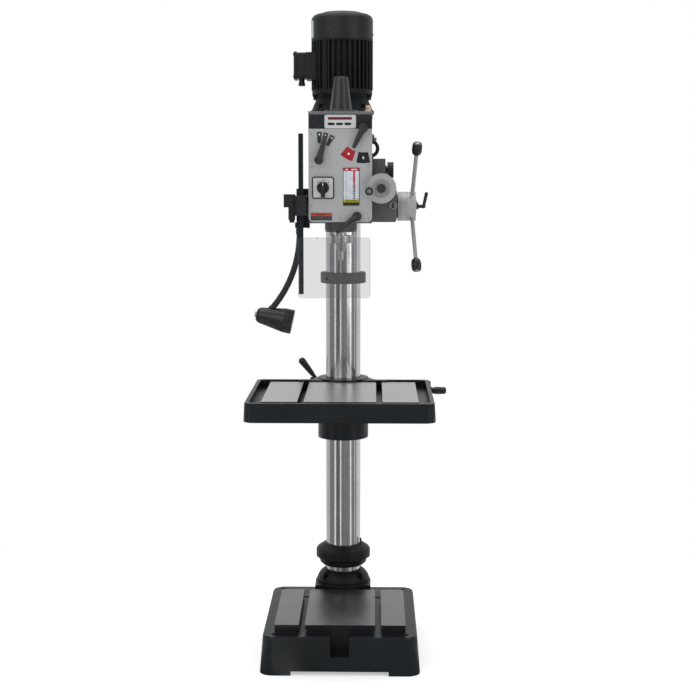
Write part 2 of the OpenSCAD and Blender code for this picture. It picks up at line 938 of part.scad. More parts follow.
module lamp_head() {
  color(black)
  difference() {
    lamp_axis() {
      difference() {
        union() {
          rotate_extrude()
            polygon([
              [0, -56], [18, -56], [23, -49], [shade_r - 2, 28], [shade_r - 2, 30], [shade_r, 30],
              [shade_r, 57], [0, 57]
            ]);
          for (a = [0:24:336])
            rotate([0, 0, a])
              translate([22.5, 0, -47])
                rotate([0, 9.6, 0])
                  translate([-4, -1.5, 0])
                    cube([5.4, 3, 78]);
        }
        translate([0, 0, 6])
          cylinder(h = 52, r1 = 25, r2 = shade_r - 3.5);
        translate([0, 0, -57])
          cylinder(h = 9, r = 9.3);
      }
    }
    translate([ball_x, neck_y, ball_z])
      sphere(11 + 2 * gap);
    translate([ball_x, neck_y, ball_z])
      rotate([0, neck_bend, 0])
        cylinder(h = 42, r1 = 10.3, r2 = 22);
  }
}

module lamp_button() {
  color(silver)
  lamp_axis()
    translate([0, 0, -62])
      cylinder(h = 9, r = 9);
}

// ---------- motor and gears ----------

module motor_rotor() {
  color(steel)
  translate([0, motor_y, 0])
    union() {
      translate([0, 0, 1676])
        cylinder(h = 312, r = 12);
      translate([0, 0, 1654])
        rotate([0, 0, a_motor])
          gear(gear_m, motor_teeth, 23);
      translate([0, 0, 1812])
        cylinder(h = 100, r = 51);
    }
}

module motor_fan() {
  color(black)
  translate([0, motor_y, cowl_z + 12])
    difference() {
      union() {
        cylinder(h = 28, r = 22);
        cylinder(h = 3, r = 80);
        for (a = [0:45:315])
          rotate([0, 0, a])
            translate([18, -1.5, 0])
              cube([66, 3, 28]);
      }
      translate([0, 0, -1])
        cylinder(h = 30, r = 12);
    }
}

module countershaft() {
  color(steel)
  translate([c_x, c_y, 0])
    union() {
      translate([0, 0, floor_z - 11.6])
        cylinder(h = 119, r = 12);
      translate([0, 0, 1656])
        rotate([0, 0, a_motor + 180 + 180 / counter_big])
          gear(gear_m, counter_big, 18);
      translate([0, 0, 1612])
        rotate([0, 0, a_spin])
          gear(gear_m, counter_small, 22);
    }
}

module drive_sleeve() {
  color(steel)
  translate([0, spin_y, 0])
    difference() {
      union() {
        translate([0, 0, 1579])
          cylinder(h = 122, r = 22);
        translate([0, 0, 1614])
          rotate([0, 0, a_spin + 180 + 180 / spindle_teeth])
            gear(gear_m, spindle_teeth, 18);
      }
      translate([0, 0, 1570])
        cylinder(h = 150, r = 13 + gap);
      translate([-17.3, -3.3, 1570])
        cube([34.6, 6.6, 150]);
    }
}

module quill() {
  below = floor((feed_z - 1390) / (feed_m * PI));
  above = floor((quill_z1 - 8 - feed_z) / (feed_m * PI) - 0.5);
  line_y = feed_y - feed_r;
  color(steel)
  difference() {
    union() {
      difference() {
        post(0, spin_y, quill_z0, quill_z1, quill_r);
        post(0, spin_y, quill_z0, 1343.5, quill_r + 2.5);
        block(-16, 16, line_y - 1.2 * feed_m, 0, 1388, quill_z1 + 1);
      }
      intersection() {
        translate([0, line_y, feed_z])
          rotate([90, 0, 90])
            linear_extrude(31.9, center = true)
              rack_outline(feed_m, below, above, -8);
        post(0, spin_y, quill_z0, quill_z1, quill_r - 0.5);
      }
    }
    post(0, spin_y, quill_z0 - 1, quill_z1 + 1, 24);
    post(0, spin_y, quill_z0 - 1, quill_z0 + 24, 36);
    post(0, spin_y, quill_z1 - 20, quill_z1 + 1, 30);
    post(0, spin_y, quill_z0 + 40, quill_z0 + 41, quill_r - 3);
  }
}

module quill_bearings() {
  color(silver)
  translate([0, spin_y, 0]) {
    difference() {
      translate([0, 0, quill_z0 + 2])
        cylinder(h = 22, r = 36);
      translate([0, 0, quill_z0])
        cylinder(h = 30, r = 18 + gap);
    }
    difference() {
      translate([0, 0, quill_z1 - 20])
        cylinder(h = 16, r = 30);
      translate([0, 0, quill_z1 - 30])
        cylinder(h = 40, r = 13 + gap);
    }
  }
}

module spindle() {
  color(steel)
  translate([0, spin_y, 0])
    difference() {
      union() {
        translate([0, 0, 1287])
          cylinder(h = 19, r1 = 12, r2 = 18);
        translate([0, 0, 1306])
          cylinder(h = 40, r = 18);
        translate([0, 0, 1345])
          cylinder(h = 195, r = 16);
        translate([0, 0, 1539])
          cylinder(h = 250, r = 13);
        translate([-17, -3, 1600])
          cube([34, 6, 186]);
      }
      translate([0, 0, 1286])
        cylinder(h = 90, r1 = 9, r2 = 7);
    }
}

module chuck_arbor() {
  color(silver)
  translate([0, spin_y, 0])
    union() {
      translate([0, 0, 1286])
        cylinder(h = 88, r1 = 9, r2 = 7.0444);
      translate([0, 0, 1284])
        cylinder(h = 2, r = 10.5);
      translate([0, 0, 1256])
        cylinder(h = 28, r = 8);
    }
}

// ---------- quill feed ----------

module feed_shaft() {
  color(steel)
  translate([0, feed_y, feed_z])
    rotate([0, 90, 0])
      union() {
        translate([0, 0, -61])
          cylinder(h = 292, r = 11);
        translate([0, 0, -15.5])
          rotate([0, 0, 90])
            gear(feed_m, feed_teeth, 31);
      }
}

module depth_dial() {
  color(silver)
  difference() {
    bar_x_dir(175, 203, feed_y, feed_z, hub_r);
    bar_x_dir(174, 204, feed_y, feed_z, 11);
  }
}

// Places of the three handles: 60 degrees above and below forward, and straight back
module handle_place() {
  for (a = [30, 150, 270])
    translate([217, feed_y, feed_z])
      rotate([a, 0, 0])
        rotate([0, 4, 0])
          children();
}

module feed_hub() {
  color(silver)
  difference() {
    union() {
      bar_x_dir(203, 231, feed_y, feed_z, hub_r);
      bar_x_dir(231, 233, feed_y, feed_z, 24);
    }
    bar_x_dir(200, 231, feed_y, feed_z, 11);
    bar_x_dir(230, 235, feed_y, feed_z, 5 + gap);
    handle_place()
      translate([0, 0, 20])
        cylinder(h = 60, r = 6.25);
    for (a = [90:120:330])
      translate([227, feed_y, feed_z])
        rotate([a, 0, 0])
          translate([0, 0, 31])
            rotate([0, 90, 0])
              cylinder(h = 10, r = 3);
  }
}

module feed_handles() {
  color(steel)
  handle_place()
    translate([0, 0, 20])
      cylinder(h = handle_reach, r = 6.25);
}

module handle_knobs() {
  color(black)
  handle_place()
    translate([0, 0, handle_reach])
      difference() {
        rotate_extrude()
          polygon([[0, -20], [9, -20], [15, -12], [16, -4], [15.5, 12], [13, 19], [0, 20]]);
        translate([0, 0, -21])
          cylinder(h = 41, r = 6.25);
      }
}

module hub_clamp_lever() {
  color(black)
  translate([0, feed_y, feed_z])
    union() {
      bar_x_dir(231.3, 234, 0, 0, 5);
      bar_x_dir(233.3, 240, 0, 0, 9);
      bar_x_dir(238, 256, 0, 0, 5.5);
      translate([256, 0, 0])
        sphere(6.5);
      translate([256, 0, 0])
        rotate([0, 12, 0])
          cylinder(h = 40, r1 = 5, r2 = 5.5);
      translate([256 + 40 * sin(12), 0, 40 * cos(12)])
        sphere(5.5);
    }
}

module fine_feed_handwheel() {
  color(silver)
  union() {
    difference() {
      bar_y_dir(worm_x, -176, -156, worm_z, wheel_r);
      bar_y_dir(worm_x, -177, -166, worm_z, 27);
      bar_y_dir(worm_x - 36, -177, -155, worm_z - 8, 4 + gap);
      bar_y_dir(worm_x, -170, -155, worm_z, 8);
    }
    difference() {
      bar_y_dir(worm_x, -166.5, -115, worm_z, 14);
      bar_y_dir(worm_x, -170, -114, worm_z, 8);
    }
  }
}

module handwheel_knob() {
  color(black)
  union() {
    bar_y_dir(worm_x - 36, -186, -176.4, worm_z - 8, 8, 6);
    bar_y_dir(worm_x - 36, -208, -186, worm_z - 8, 12, 10);
    bar_y_dir(worm_x - 36, -180, -157, worm_z - 8, 4);
  }
}

module fine_feed_worm() {
  color(steel)
  union() {
    bar_y_dir(worm_x, -172, 33, worm_z, 8);
    bar_y_dir(worm_x, -54, 20, worm_z, 12);
    for (i = [-4:4])
      bar_y_dir(worm_x, feed_y + (i - 0.3) * worm_pitch, feed_y + (i + 0.2) * worm_pitch, worm_z, worm_r);
    bar_y_dir(worm_x, -174, -170, worm_z, 13.5);
  }
}

module worm_wheel() {
  color([0.7, 0.5, 0.25])
  translate([110, feed_y, feed_z])
    rotate([0, 90, 0])
      difference() {
        gear(wheel_m, wheel_teeth, 26);
        translate([0, 0, -1])
          cylinder(h = 30, r = 11 + gap);
      }
}

module feed_selector_knob() {
  color(black)
  translate([0, -53, 1532])
    rotate([0, 90, 0])
      difference() {
        union() {
          translate([0, 0, 126])
            cylinder(h = 16, r = 8);
          translate([0, 0, 142])
            cylinder(h = 19, r = 23.5);
          for (a = [0:15:345])
            rotate([0, 0, a])
              translate([23, 0, 142])
                cylinder(h = 19, r = 1.2);
        }
        translate([18, 0, 160])
          cylinder(h = 3, r = 1.5);
      }
}

// ---------- front controls ----------

// Lever on the front panel: shaft, hub, tapered arm at angle a from straight up, clockwise
module panel_lever(p, a, length, r_hub) {
  y = panel_y - 3.4;
  translate([p[0], 0, p[1]])
    union() {
      bar_y_dir(0, y - 1, -122, 0, 6);
      bar_y_dir(0, y - 16, y, 0, r_hub);
      translate([0, y - 10, 0])
        rotate([0, a, 0])
          cylinder(h = length, r1 = 10, r2 = 6);
      translate([0, y - 10, 0])
        rotate([0, a, 0])
          translate([0, 0, length])
            sphere(6);
    }
}

module left_speed_lever() {
  color(black)
  panel_lever(left_lever, 16, 70, 13);
}

module right_speed_lever() {
  color(black)
  panel_lever(right_lever, 206.5, 61, 14);
}

module quill_lever() {
  color(dark_iron)
  panel_lever(low_lever, 232.7, 73, 14);
}

module switch_knob() {
  color(black)
  translate([switch_c[0], 0, switch_c[1]])
    union() {
      bar_y_dir(0, -157, -134, 0, 5);
      bar_y_dir(0, -168, -156.4, 0, 18);
      plate_y(-5, 5, -18, 18, -182, -167, 4);
    }
}

base_casting();
column_flange();
flange_bolts();
column();
lower_rack_collar();
upper_rack_collar();
collar_screws();
table_rack();
work_table();
table_clamp_lever();
elevating_crank();
crank_grip();
table_pinion();
head_casting();
front_cover();
cover_screws();
top_cover();
spindle_cap();
oil_filler_plug();
motor_adapter();
motor_frame();
motor_stator();
fan_cowl();
adapter_bolts();
terminal_box();
front_plates();
switch_plate();
feed_housing();
wiring_conduit();
guard_bracket();
lamp_gooseneck();
motor_rotor();
motor_fan();
countershaft();
drive_sleeve();
quill();
quill_bearings();
spindle();
chuck_arbor();
feed_shaft();
feed_hub();
depth_dial();
feed_handles();
handle_knobs();
hub_clamp_lever();
fine_feed_handwheel();
handwheel_knob();
fine_feed_worm();
worm_wheel();
feed_selector_knob();
left_speed_lever();
right_speed_lever();
quill_lever();
switch_knob();
guard_block();
guard_switch_box();
guard_bar();
guard_shield();
lamp_head();
lamp_button();
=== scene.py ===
import json
import math

import bmesh
import bpy
from mathutils import Matrix, Vector


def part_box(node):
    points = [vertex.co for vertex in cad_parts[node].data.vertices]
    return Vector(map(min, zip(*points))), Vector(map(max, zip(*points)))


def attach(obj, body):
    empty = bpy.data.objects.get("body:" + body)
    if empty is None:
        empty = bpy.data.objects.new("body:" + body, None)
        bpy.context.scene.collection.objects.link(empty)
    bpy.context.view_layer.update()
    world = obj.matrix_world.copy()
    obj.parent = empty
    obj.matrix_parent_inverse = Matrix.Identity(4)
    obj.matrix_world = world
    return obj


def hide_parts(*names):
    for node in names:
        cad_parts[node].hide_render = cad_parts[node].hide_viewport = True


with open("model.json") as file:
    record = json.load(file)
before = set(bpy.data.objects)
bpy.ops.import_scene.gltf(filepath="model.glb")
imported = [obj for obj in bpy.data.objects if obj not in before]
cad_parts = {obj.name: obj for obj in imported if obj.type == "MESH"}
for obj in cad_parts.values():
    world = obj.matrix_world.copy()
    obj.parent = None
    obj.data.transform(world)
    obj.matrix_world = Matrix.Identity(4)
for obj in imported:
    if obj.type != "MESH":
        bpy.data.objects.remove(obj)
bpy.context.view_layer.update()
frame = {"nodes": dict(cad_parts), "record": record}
nodes = frame["nodes"]
record = frame["record"]
scene = bpy.context.scene
scene.view_settings.view_transform = "Standard"
MM = 0.001


def centre(name):
    """The middle of a node's box, in metres."""
    lo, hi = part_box(name)
    return (Vector(lo) + Vector(hi)) / 2


def low(name):
    """The lowest corner of a node's box, in mm."""
    return tuple(round(v / MM, 2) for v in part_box(name)[0])


def high(name):
    """The highest corner of a node's box, in mm."""
    return tuple(round(v / MM, 2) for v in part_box(name)[1])


def middle_of(name):
    """The middle of a node's box, in mm."""
    return tuple(round(v / MM, 1) for v in centre(name))


def pivot(joint):
    """The point that a joint turns about, in mm."""
    entry = next(j for j in record["behaviour"]["joints"] if j["name"] == joint)
    return tuple(round(v / MM, 3) for v in entry["pos_m"])


def face_height(mount):
    """The height of a flat mount, in metres."""
    return next(m["pos_m"][2] for m in record["mounts"] if m["name"] == mount)


# ---------------------------------------------------------------- camera
column = centre("column")
cam_data = bpy.data.cameras.new("camera")
cam = bpy.data.objects.new("camera", cam_data)
scene.collection.objects.link(cam)
scene.camera = cam
cam_data.sensor_width = 36.0
cam_data.lens = 71.32
cam_data.clip_start = 0.05
cam_data.clip_end = 80.0
CAM_X = 0.10
CAM_BACK = 4.53
CAM_HEIGHT = 1.517
CAM_DOWN = 7.09
CAM_TRIM = 0.0748
cam.location = (CAM_X, column.y - CAM_BACK, CAM_HEIGHT)
yaw = math.atan(CAM_X / CAM_BACK) - math.radians(CAM_TRIM)
cam.rotation_euler = (math.radians(90 - CAM_DOWN), 0.0, yaw)


# ---------------------------------------------------------------- material tools
def new_mat(name):
    """A material with nothing but a principled shader."""
    m = bpy.data.materials.new(name)
    m.use_nodes = True
    nt = m.node_tree
    nt.nodes.clear()
    out = nt.nodes.new("ShaderNodeOutputMaterial")
    bsdf = nt.nodes.new("ShaderNodeBsdfPrincipled")
    nt.links.new(bsdf.outputs["BSDF"], out.inputs["Surface"])
    return m, nt, bsdf


def coords(nt, scale=(1, 1, 1)):
    """Object coordinates, stretched along the axes with a small scale."""
    tc = nt.nodes.new("ShaderNodeTexCoord")
    mp = nt.nodes.new("ShaderNodeMapping")
    mp.inputs["Scale"].default_value = scale
    nt.links.new(tc.outputs["Object"], mp.inputs["Vector"])
    return mp.outputs["Vector"]


def noise(nt, vec, scale, detail=4.0, rough=0.55):
    n = nt.nodes.new("ShaderNodeTexNoise")
    n.inputs["Scale"].default_value = scale
    n.inputs["Detail"].default_value = detail
    n.inputs["Roughness"].default_value = rough
    nt.links.new(vec, n.inputs["Vector"])
    return n.outputs["Fac"]


def ramp(nt, fac, stops):
    """Colours by (position, colour) stops."""
    r = nt.nodes.new("ShaderNodeValToRGB")
    el = r.color_ramp.elements
    while len(el) < len(stops):
        el.new(0.5)
    for e, (p, c) in zip(el, stops):
        e.position = p
        e.color = (*c, 1)
    nt.links.new(fac, r.inputs["Fac"])
    return r.outputs["Color"]


def scalar(nt, fac, lo, hi, a=0.3, b=0.7):
    """Maps the range a to b onto lo to hi."""
    m = nt.nodes.new("ShaderNodeMapRange")
    m.inputs["From Min"].default_value = a
    m.inputs["From Max"].default_value = b
    m.inputs["To Min"].default_value = lo
    m.inputs["To Max"].default_value = hi
    nt.links.new(fac, m.inputs["Value"])
    return m.outputs["Result"]


def bump(nt, bsdf, heights, distance=0.001, edge=0.0):
    """Stacked bumps over an optional rounded edge of that radius."""
    prev = None
    if edge:
        b = nt.nodes.new("ShaderNodeBevel")
        b.samples = 4
        b.inputs["Radius"].default_value = edge
        prev = b.outputs["Normal"]
    for fac, strength in heights:
        b = nt.nodes.new("ShaderNodeBump")
        b.inputs["Strength"].default_value = strength
        b.inputs["Distance"].default_value = distance
        nt.links.new(fac, b.inputs["Height"])
        if prev:
            nt.links.new(prev, b.inputs["Normal"])
        prev = b.outputs["Normal"]
    nt.links.new(prev, bsdf.inputs["Normal"])


def mix_col(nt, fac, a, b):
    """Colour a where fac is 0 and b where it is 1; each is a tuple or a socket."""
    m = nt.nodes.new("ShaderNodeMix")
    m.data_type = "RGBA"
    nt.links.new(fac, m.inputs[0])
    for sock, v in ((m.inputs[6], a), (m.inputs[7], b)):
        if isinstance(v, tuple):
            sock.default_value = (*v, 1)
        else:
            nt.links.new(v, sock)
    return m.outputs[2]


def shade(colour, k, lift=0.0):
    """A colour made darker or lighter."""
    return tuple(min(1.0, c * k + lift) for c in colour)


BLACK = (0, 0, 0)
WHITE = (1, 1, 1)


def paint(name, colour, rough=0.38, grain=900, cast=60, relief=0.25, spread=0.18, spec=0.25, coat=0.0,
          edge=0.0012):
    """Sprayed paint over cast or pressed metal: mottled colour, orange peel, fine scuffs."""
    m, nt, bsdf = new_mat(name)
    vec = coords(nt)
    broad = noise(nt, vec, cast / 8, 3)
    fine = noise(nt, vec, grain, 5)
    body = noise(nt, vec, cast, 6, 0.6)
    col = ramp(nt, broad, [(0.3, shade(colour, 1 - spread)), (0.7, shade(colour, 1 + spread))])
    speck = ramp(nt, fine, [(0.46, BLACK), (0.80, WHITE)])
    col = mix_col(nt, speck, col, shade(colour, 1.35, 0.004))
    scuff = noise(nt, coords(nt, (1, 1, 0.25)), 38, 8, 0.72)
    mask = ramp(nt, scuff, [(0.67, BLACK), (0.78, (0.7, 0.7, 0.7))])
    col = mix_col(nt, mask, col, shade(colour, 1.3, 0.004))
    nt.links.new(col, bsdf.inputs["Base Color"])
    nt.links.new(scalar(nt, body, rough - 0.06, rough + 0.12), bsdf.inputs["Roughness"])
    bsdf.inputs["Specular IOR Level"].default_value = spec
    bsdf.inputs["Coat Weight"].default_value = coat
    bsdf.inputs["Coat Roughness"].default_value = 0.16
    bump(nt, bsdf, [(body, relief), (fine, relief * 0.35)], 0.0012, edge)
    return m


def metal(name, colour, rough=0.3, streak=(1, 1, 1), streak_scale=300, contrast=0.25, relief=0.08,
          edge=0.0005, metallic=1.0):
    """Machined metal: fine tool marks along one direction, with uneven polish and a little staining."""
    m, nt, bsdf = new_mat(name)
    lines = noise(nt, coords(nt, streak), streak_scale, 6, 0.62)
    blotch = noise(nt, coords(nt), 22, 5, 0.6)
    col = ramp(nt, lines, [(0.34, shade(colour, 1 - contrast)), (0.66, shade(colour, 1 + contrast))])
    stain = ramp(nt, blotch, [(0.5, BLACK), (0.8, WHITE)])
    col = mix_col(nt, stain, col, shade(colour, 0.78))
    nt.links.new(col, bsdf.inputs["Base Color"])
    bsdf.inputs["Metallic"].default_value = metallic
    nt.links.new(scalar(nt, lines, rough - 0.08, rough + 0.12), bsdf.inputs["Roughness"])
    bump(nt, bsdf, [(lines, relief)], 0.0004, edge)
    return m


def plastic(name, colour, rough=0.3, grain=1400, relief=0.08, spec=0.4, edge=0.0007):
    """Moulded plastic or rubber: even colour with a fine grain and handling marks."""
    m, nt, bsdf = new_mat(name)
    vec = coords(nt)
    fine = noise(nt, vec, grain, 3)
    wide = noise(nt, vec, 45, 6, 0.7)
    col = ramp(nt, wide, [(0.35, shade(colour, 0.85)), (0.7, shade(colour, 1.2, 0.003))])
    nt.links.new(col, bsdf.inputs["Base Color"])
    nt.links.new(scalar(nt, wide, rough - 0.06, rough + 0.14), bsdf.inputs["Roughness"])
    bsdf.inputs["Specular IOR Level"].default_value = spec
    bump(nt, bsdf, [(fine, relief)], 0.0006, edge)
    return m


def polished_tube(name, node, dark, light, rough=0.15):
    """Turned and polished tube: upright hairlines that run round it, faint rings and storage marks."""
    axis = centre(node)
    radius = high(node)[0] * MM
    m, nt, bsdf = new_mat(name)
    tc = nt.nodes.new("ShaderNodeTexCoord")
    mp = nt.nodes.new("ShaderNodeMapping")
    mp.inputs["Location"].default_value = (-axis.x, -axis.y, 0)
    mp.inputs["Scale"].default_value = (1, 1, 0.012)
    nt.links.new(tc.outputs["Object"], mp.inputs["Vector"])
    bands = noise(nt, mp.outputs["Vector"], 1.6 / radius, 4, 0.6)
    hair = noise(nt, mp.outputs["Vector"], 30 / radius, 4, 0.6)
    rings = noise(nt, coords(nt, (0.02, 0.02, 1)), 420, 4, 0.6)
    haze = noise(nt, coords(nt), 9, 5, 0.6)
    col = ramp(nt, bands, [(0.32, (dark, dark, dark * 1.01)), (0.68, (light, light, light * 1.01))])
    thin = ramp(nt, hair, [(0.44, BLACK), (0.64, (0.4, 0.4, 0.4))])
    col = mix_col(nt, thin, col, (light * 1.1, light * 1.1, light * 1.12))
    marks = ramp(nt, haze, [(0.5, BLACK), (0.75, (0.35, 0.35, 0.35))])
    col = mix_col(nt, marks, col, (dark * 0.8, dark * 0.8, dark * 0.8))
    nt.links.new(col, bsdf.inputs["Base Color"])
    bsdf.inputs["Metallic"].default_value = 1.0
    nt.links.new(scalar(nt, bands, rough + 0.05, rough - 0.03), bsdf.inputs["Roughness"])
    bump(nt, bsdf, [(hair, 0.03), (rings, 0.02)], 0.0003)
    return m


def ground_iron(name, tone, rough):
    """Ground cast iron: fine crossing grinding marks, slight oil haze and tiny open pores."""
    m, nt, bsdf = new_mat(name)
    marks = noise(nt, coords(nt, (1, 0.03, 1)), 900, 4, 0.6)
    cross = noise(nt, coords(nt, (0.05, 1, 1)), 300, 4, 0.6)
    haze = noise(nt, coords(nt), 7, 4, 0.6)
    pores = noise(nt, coords(nt), 1500, 2, 0.5)
    col = ramp(nt, haze, [(0.3, shade(tone, 0.88)), (0.7, shade(tone, 1.1))])
    col = mix_col(nt, ramp(nt, marks, [(0.4, BLACK), (0.7, (0.5, 0.5, 0.5))]), col, shade(tone, 1.2))
    col = mix_col(nt, ramp(nt, pores, [(0.68, BLACK), (0.76, WHITE)]), col, shade(tone, 0.5))
    nt.links.new(col, bsdf.inputs["Base Color"])
    bsdf.inputs["Metallic"].default_value = 0.9
    nt.links.new(scalar(nt, haze, rough, rough + 0.12), bsdf.inputs["Roughness"])
    bump(nt, bsdf, [(marks, 0.02), (cross, 0.012)], 0.0003)
    return m


def clear_plastic(name, colour, alpha, rough=0.08):
    """Clear sheet: slightly grey where it is seen, with fine wiping scratches."""
    m, nt, bsdf = new_mat(name)
    haze = noise(nt, coords(nt), 30, 6, 0.7)
    scratch = noise(nt, coords(nt, (1, 1, 0.04)), 700, 3, 0.6)
    col = ramp(nt, haze, [(0.3, shade(colour, 0.9)), (0.7, shade(colour, 1.1))])
    nt.links.new(col, bsdf.inputs["Base Color"])
    nt.links.new(scalar(nt, scratch, rough, rough + 0.1), bsdf.inputs["Roughness"])
    nt.links.new(scalar(nt, haze, alpha * 0.94, alpha * 1.06), bsdf.inputs["Alpha"])
    bsdf.inputs["Specular IOR Level"].default_value = 0.15
    return m


def ink(name, colour, rough=0.45):
    """Printed film: flat ink with a faint dot grain and handling marks."""
    return plastic(name, colour, rough, 2600, 0.04, 0.25, 0.0)


def frosted_bulb():
    """Frosted white glass."""
    m, nt, bsdf = new_mat("lamp_bulb_frosted")
    frost = noise(nt, coords(nt), 900, 4, 0.6)
    col = ramp(nt, frost, [(0.3, (0.80, 0.80, 0.78)), (0.7, (0.92, 0.92, 0.90))])
    nt.links.new(col, bsdf.inputs["Base Color"])
    nt.links.new(scalar(nt, frost, 0.25, 0.4), bsdf.inputs["Roughness"])
    bump(nt, bsdf, [(frost, 0.05)], 0.0003)
    return m


M = {
    "black_paint": paint("paint_black", (0.0078, 0.0106, 0.0126), 0.42, 1100, 70, 0.20, 0.22, 0.18),
    "cowl_paint": paint("paint_cowl", (0.0125, 0.0145, 0.0155), 0.40, 1300, 60, 0.08, 0.12, 0.25),
    "fin_paint": paint("paint_fins", (0.0112, 0.0130, 0.0140), 0.48, 1100, 70, 0.15, 0.2, 0.12),
    "cap_paint": paint("paint_cap", (0.017, 0.0185, 0.019), 0.30, 1100, 60, 0.25, 0.15, 0.4, 0.1),
    "lip_paint": paint("paint_lip", (0.0150, 0.0165, 0.0180), 0.22, 1100, 30, 0.05, 0.1, 0.3, 0.15),
    "grey_casting": paint("paint_dark_grey", (0.084, 0.087, 0.088), 0.45, 900, 80, 0.35, 0.12, 0.3),
    "cover_grey": paint("paint_cover_grey", (0.150, 0.153, 0.156), 0.42, 900, 70, 0.2, 0.1, 0.3),
    "collar_grey": paint("paint_collar_grey", (0.078, 0.081, 0.082), 0.5, 1000, 80, 0.25, 0.1, 0.2),
    "silver_paint": paint("paint_silver", (0.345, 0.352, 0.356), 0.40, 2200, 16, 0.05, 0.04, 0.3),
    "table_paint": paint("paint_table", (0.0082, 0.0110, 0.0132), 0.34, 900, 60, 0.20, 0.2, 0.22, 0.05,
                         0.003),
    "machined_steel": metal("steel_machined", (0.50, 0.50, 0.51), 0.34, (1, 1, 0.1), 500, 0.2),
    "bright_steel": metal("steel_bright", (0.56, 0.56, 0.57), 0.24, (1, 1, 0.05), 600, 0.12),
    "dark_steel": metal("steel_blackened", (0.045, 0.046, 0.048), 0.42, (1, 1, 1), 300, 0.2),
    "hub_alloy": metal("alloy_turned", (0.47, 0.475, 0.48), 0.46, (8, 1, 1), 260, 0.05, 0.06, 0.0005, 0.35),
    "plate_alloy": paint("alloy_plate", (0.50, 0.51, 0.52), 0.34, 2400, 20, 0.04, 0.04, 0.5, 0.0, 0.0005),
    "handle_steel": paint("steel_handle", (0.27, 0.27, 0.265), 0.3, 2000, 40, 0.05, 0.08, 0.6, 0.1, 0.0),
    "black_plastic": plastic("plastic_gloss_black", (0.014, 0.015, 0.016), 0.26),
    "lever_plastic": plastic("plastic_charcoal", (0.026, 0.029, 0.030), 0.42, 1000, 0.15, 0.35, 0.001),
    "black_matte": plastic("plastic_matte_black", (0.017, 0.0185, 0.0195), 0.5, 1000, 0.2, 0.25, 0.001),
    "rubber_black": plastic("rubber_black", (0.020, 0.0215, 0.022), 0.55, 700, 0.25, 0.3),
    "oil_brass": metal("brass", (0.80, 0.58, 0.30), 0.28, (1, 1, 6), 300, 0.16),
    "worm_bronze": metal("bronze", (0.52, 0.32, 0.14), 0.34, (6, 1, 1), 300, 0.15),
    "winding": plastic("winding_varnish", (0.28, 0.10, 0.03), 0.35, 500, 0.5),
    "wheel_grey": paint("paint_wheel_grey", (0.300, 0.305, 0.308), 0.34, 1800, 30, 0.06, 0.05, 0.35),
    "wheel_light": paint("paint_wheel_light", (0.37, 0.375, 0.38), 0.34, 1800, 30, 0.06, 0.05, 0.35),
    "column": polished_tube("steel_column", "column", 0.46, 0.66),
    "quill": polished_tube("steel_quill", "quill", 0.52, 0.72, 0.10),
    "ground_table": ground_iron("iron_ground_table", (0.40, 0.40, 0.405), 0.25),
    "ground_base": ground_iron("iron_ground_base", (0.17, 0.17, 0.175), 0.26),
    "clear_sheet": clear_plastic("sheet_clear", (0.13, 0.135, 0.145), 0.165),
    "clear_edge": clear_plastic("sheet_clear_edge", (0.28, 0.29, 0.31), 0.34),
    "ink_red": ink("ink_red", (0.33, 0.012, 0.022)),
    "ink_dark_red": ink("ink_dark_red", (0.115, 0.006, 0.012)),
    "ink_black": ink("ink_black", (0.012, 0.013, 0.015)),
    "ink_grey": ink("ink_grey", (0.045, 0.052, 0.052)),
    "ink_mid": ink("ink_mid", (0.27, 0.28, 0.31)),
    "ink_frame": ink("ink_slate", (0.075, 0.075, 0.095)),
    "ink_white": ink("ink_white", (0.74, 0.75, 0.76)),
    "ink_pale": ink("ink_pale_blue", (0.56, 0.60, 0.66)),
    "ink_pink": ink("ink_rose", (0.52, 0.075, 0.105)),
    "ink_yellow": ink("ink_yellow", (0.42, 0.37, 0.015)),
    "ink_olive": ink("ink_olive", (0.030, 0.027, 0.016)),
    "ink_orange": ink("ink_orange", (0.52, 0.045, 0.018)),
    "ink_rust": ink("ink_rust", (0.21, 0.022, 0.010)),
    "bulb": frosted_bulb(),
}

slot_of = {s["node"]: s["material_slot"] for s in record["subparts"]}

# Nodes whose finish is finer than their slot's.
special = {
    "column": "column",
    "quill": "quill",
    "base_casting": "table_paint",
    "work_table": "table_paint",
    "fine_feed_handwheel": "wheel_grey",
    "fan_cowl": "cowl_paint",
    "terminal_box": "cowl_paint",
    "motor_frame": "fin_paint",
    "motor_adapter": "fin_paint",
    "spindle_cap": "cap_paint",
    "lamp_head": "black_plastic",
    "top_cover": "cover_grey",
    "upper_rack_collar": "collar_grey",
    "lower_rack_collar": "black_paint",
    "flange_bolts": "dark_steel",
    "collar_screws": "dark_steel",
    "adapter_bolts": "dark_steel",
    "switch_plate": "plate_alloy",
    "feed_handles": "handle_steel",
    "left_speed_lever": "lever_plastic",
    "right_speed_lever": "lever_plastic",
    "quill_lever": "lever_plastic",
    "front_plates": "silver_paint",
}

for name, obj in nodes.items():
    obj.data.materials.clear()
    obj.data.materials.append(M[special.get(name) or slot_of[name]])


def second_material(node, key, test):
    """Faces of a CAD node that pass the test take another material."""
    obj = nodes[node]
    obj.data.materials.append(M[key])
    i = len(obj.data.materials) - 1
    for p in obj.data.polygons:
        if test(p.center, p.normal):
            p.material_index = i


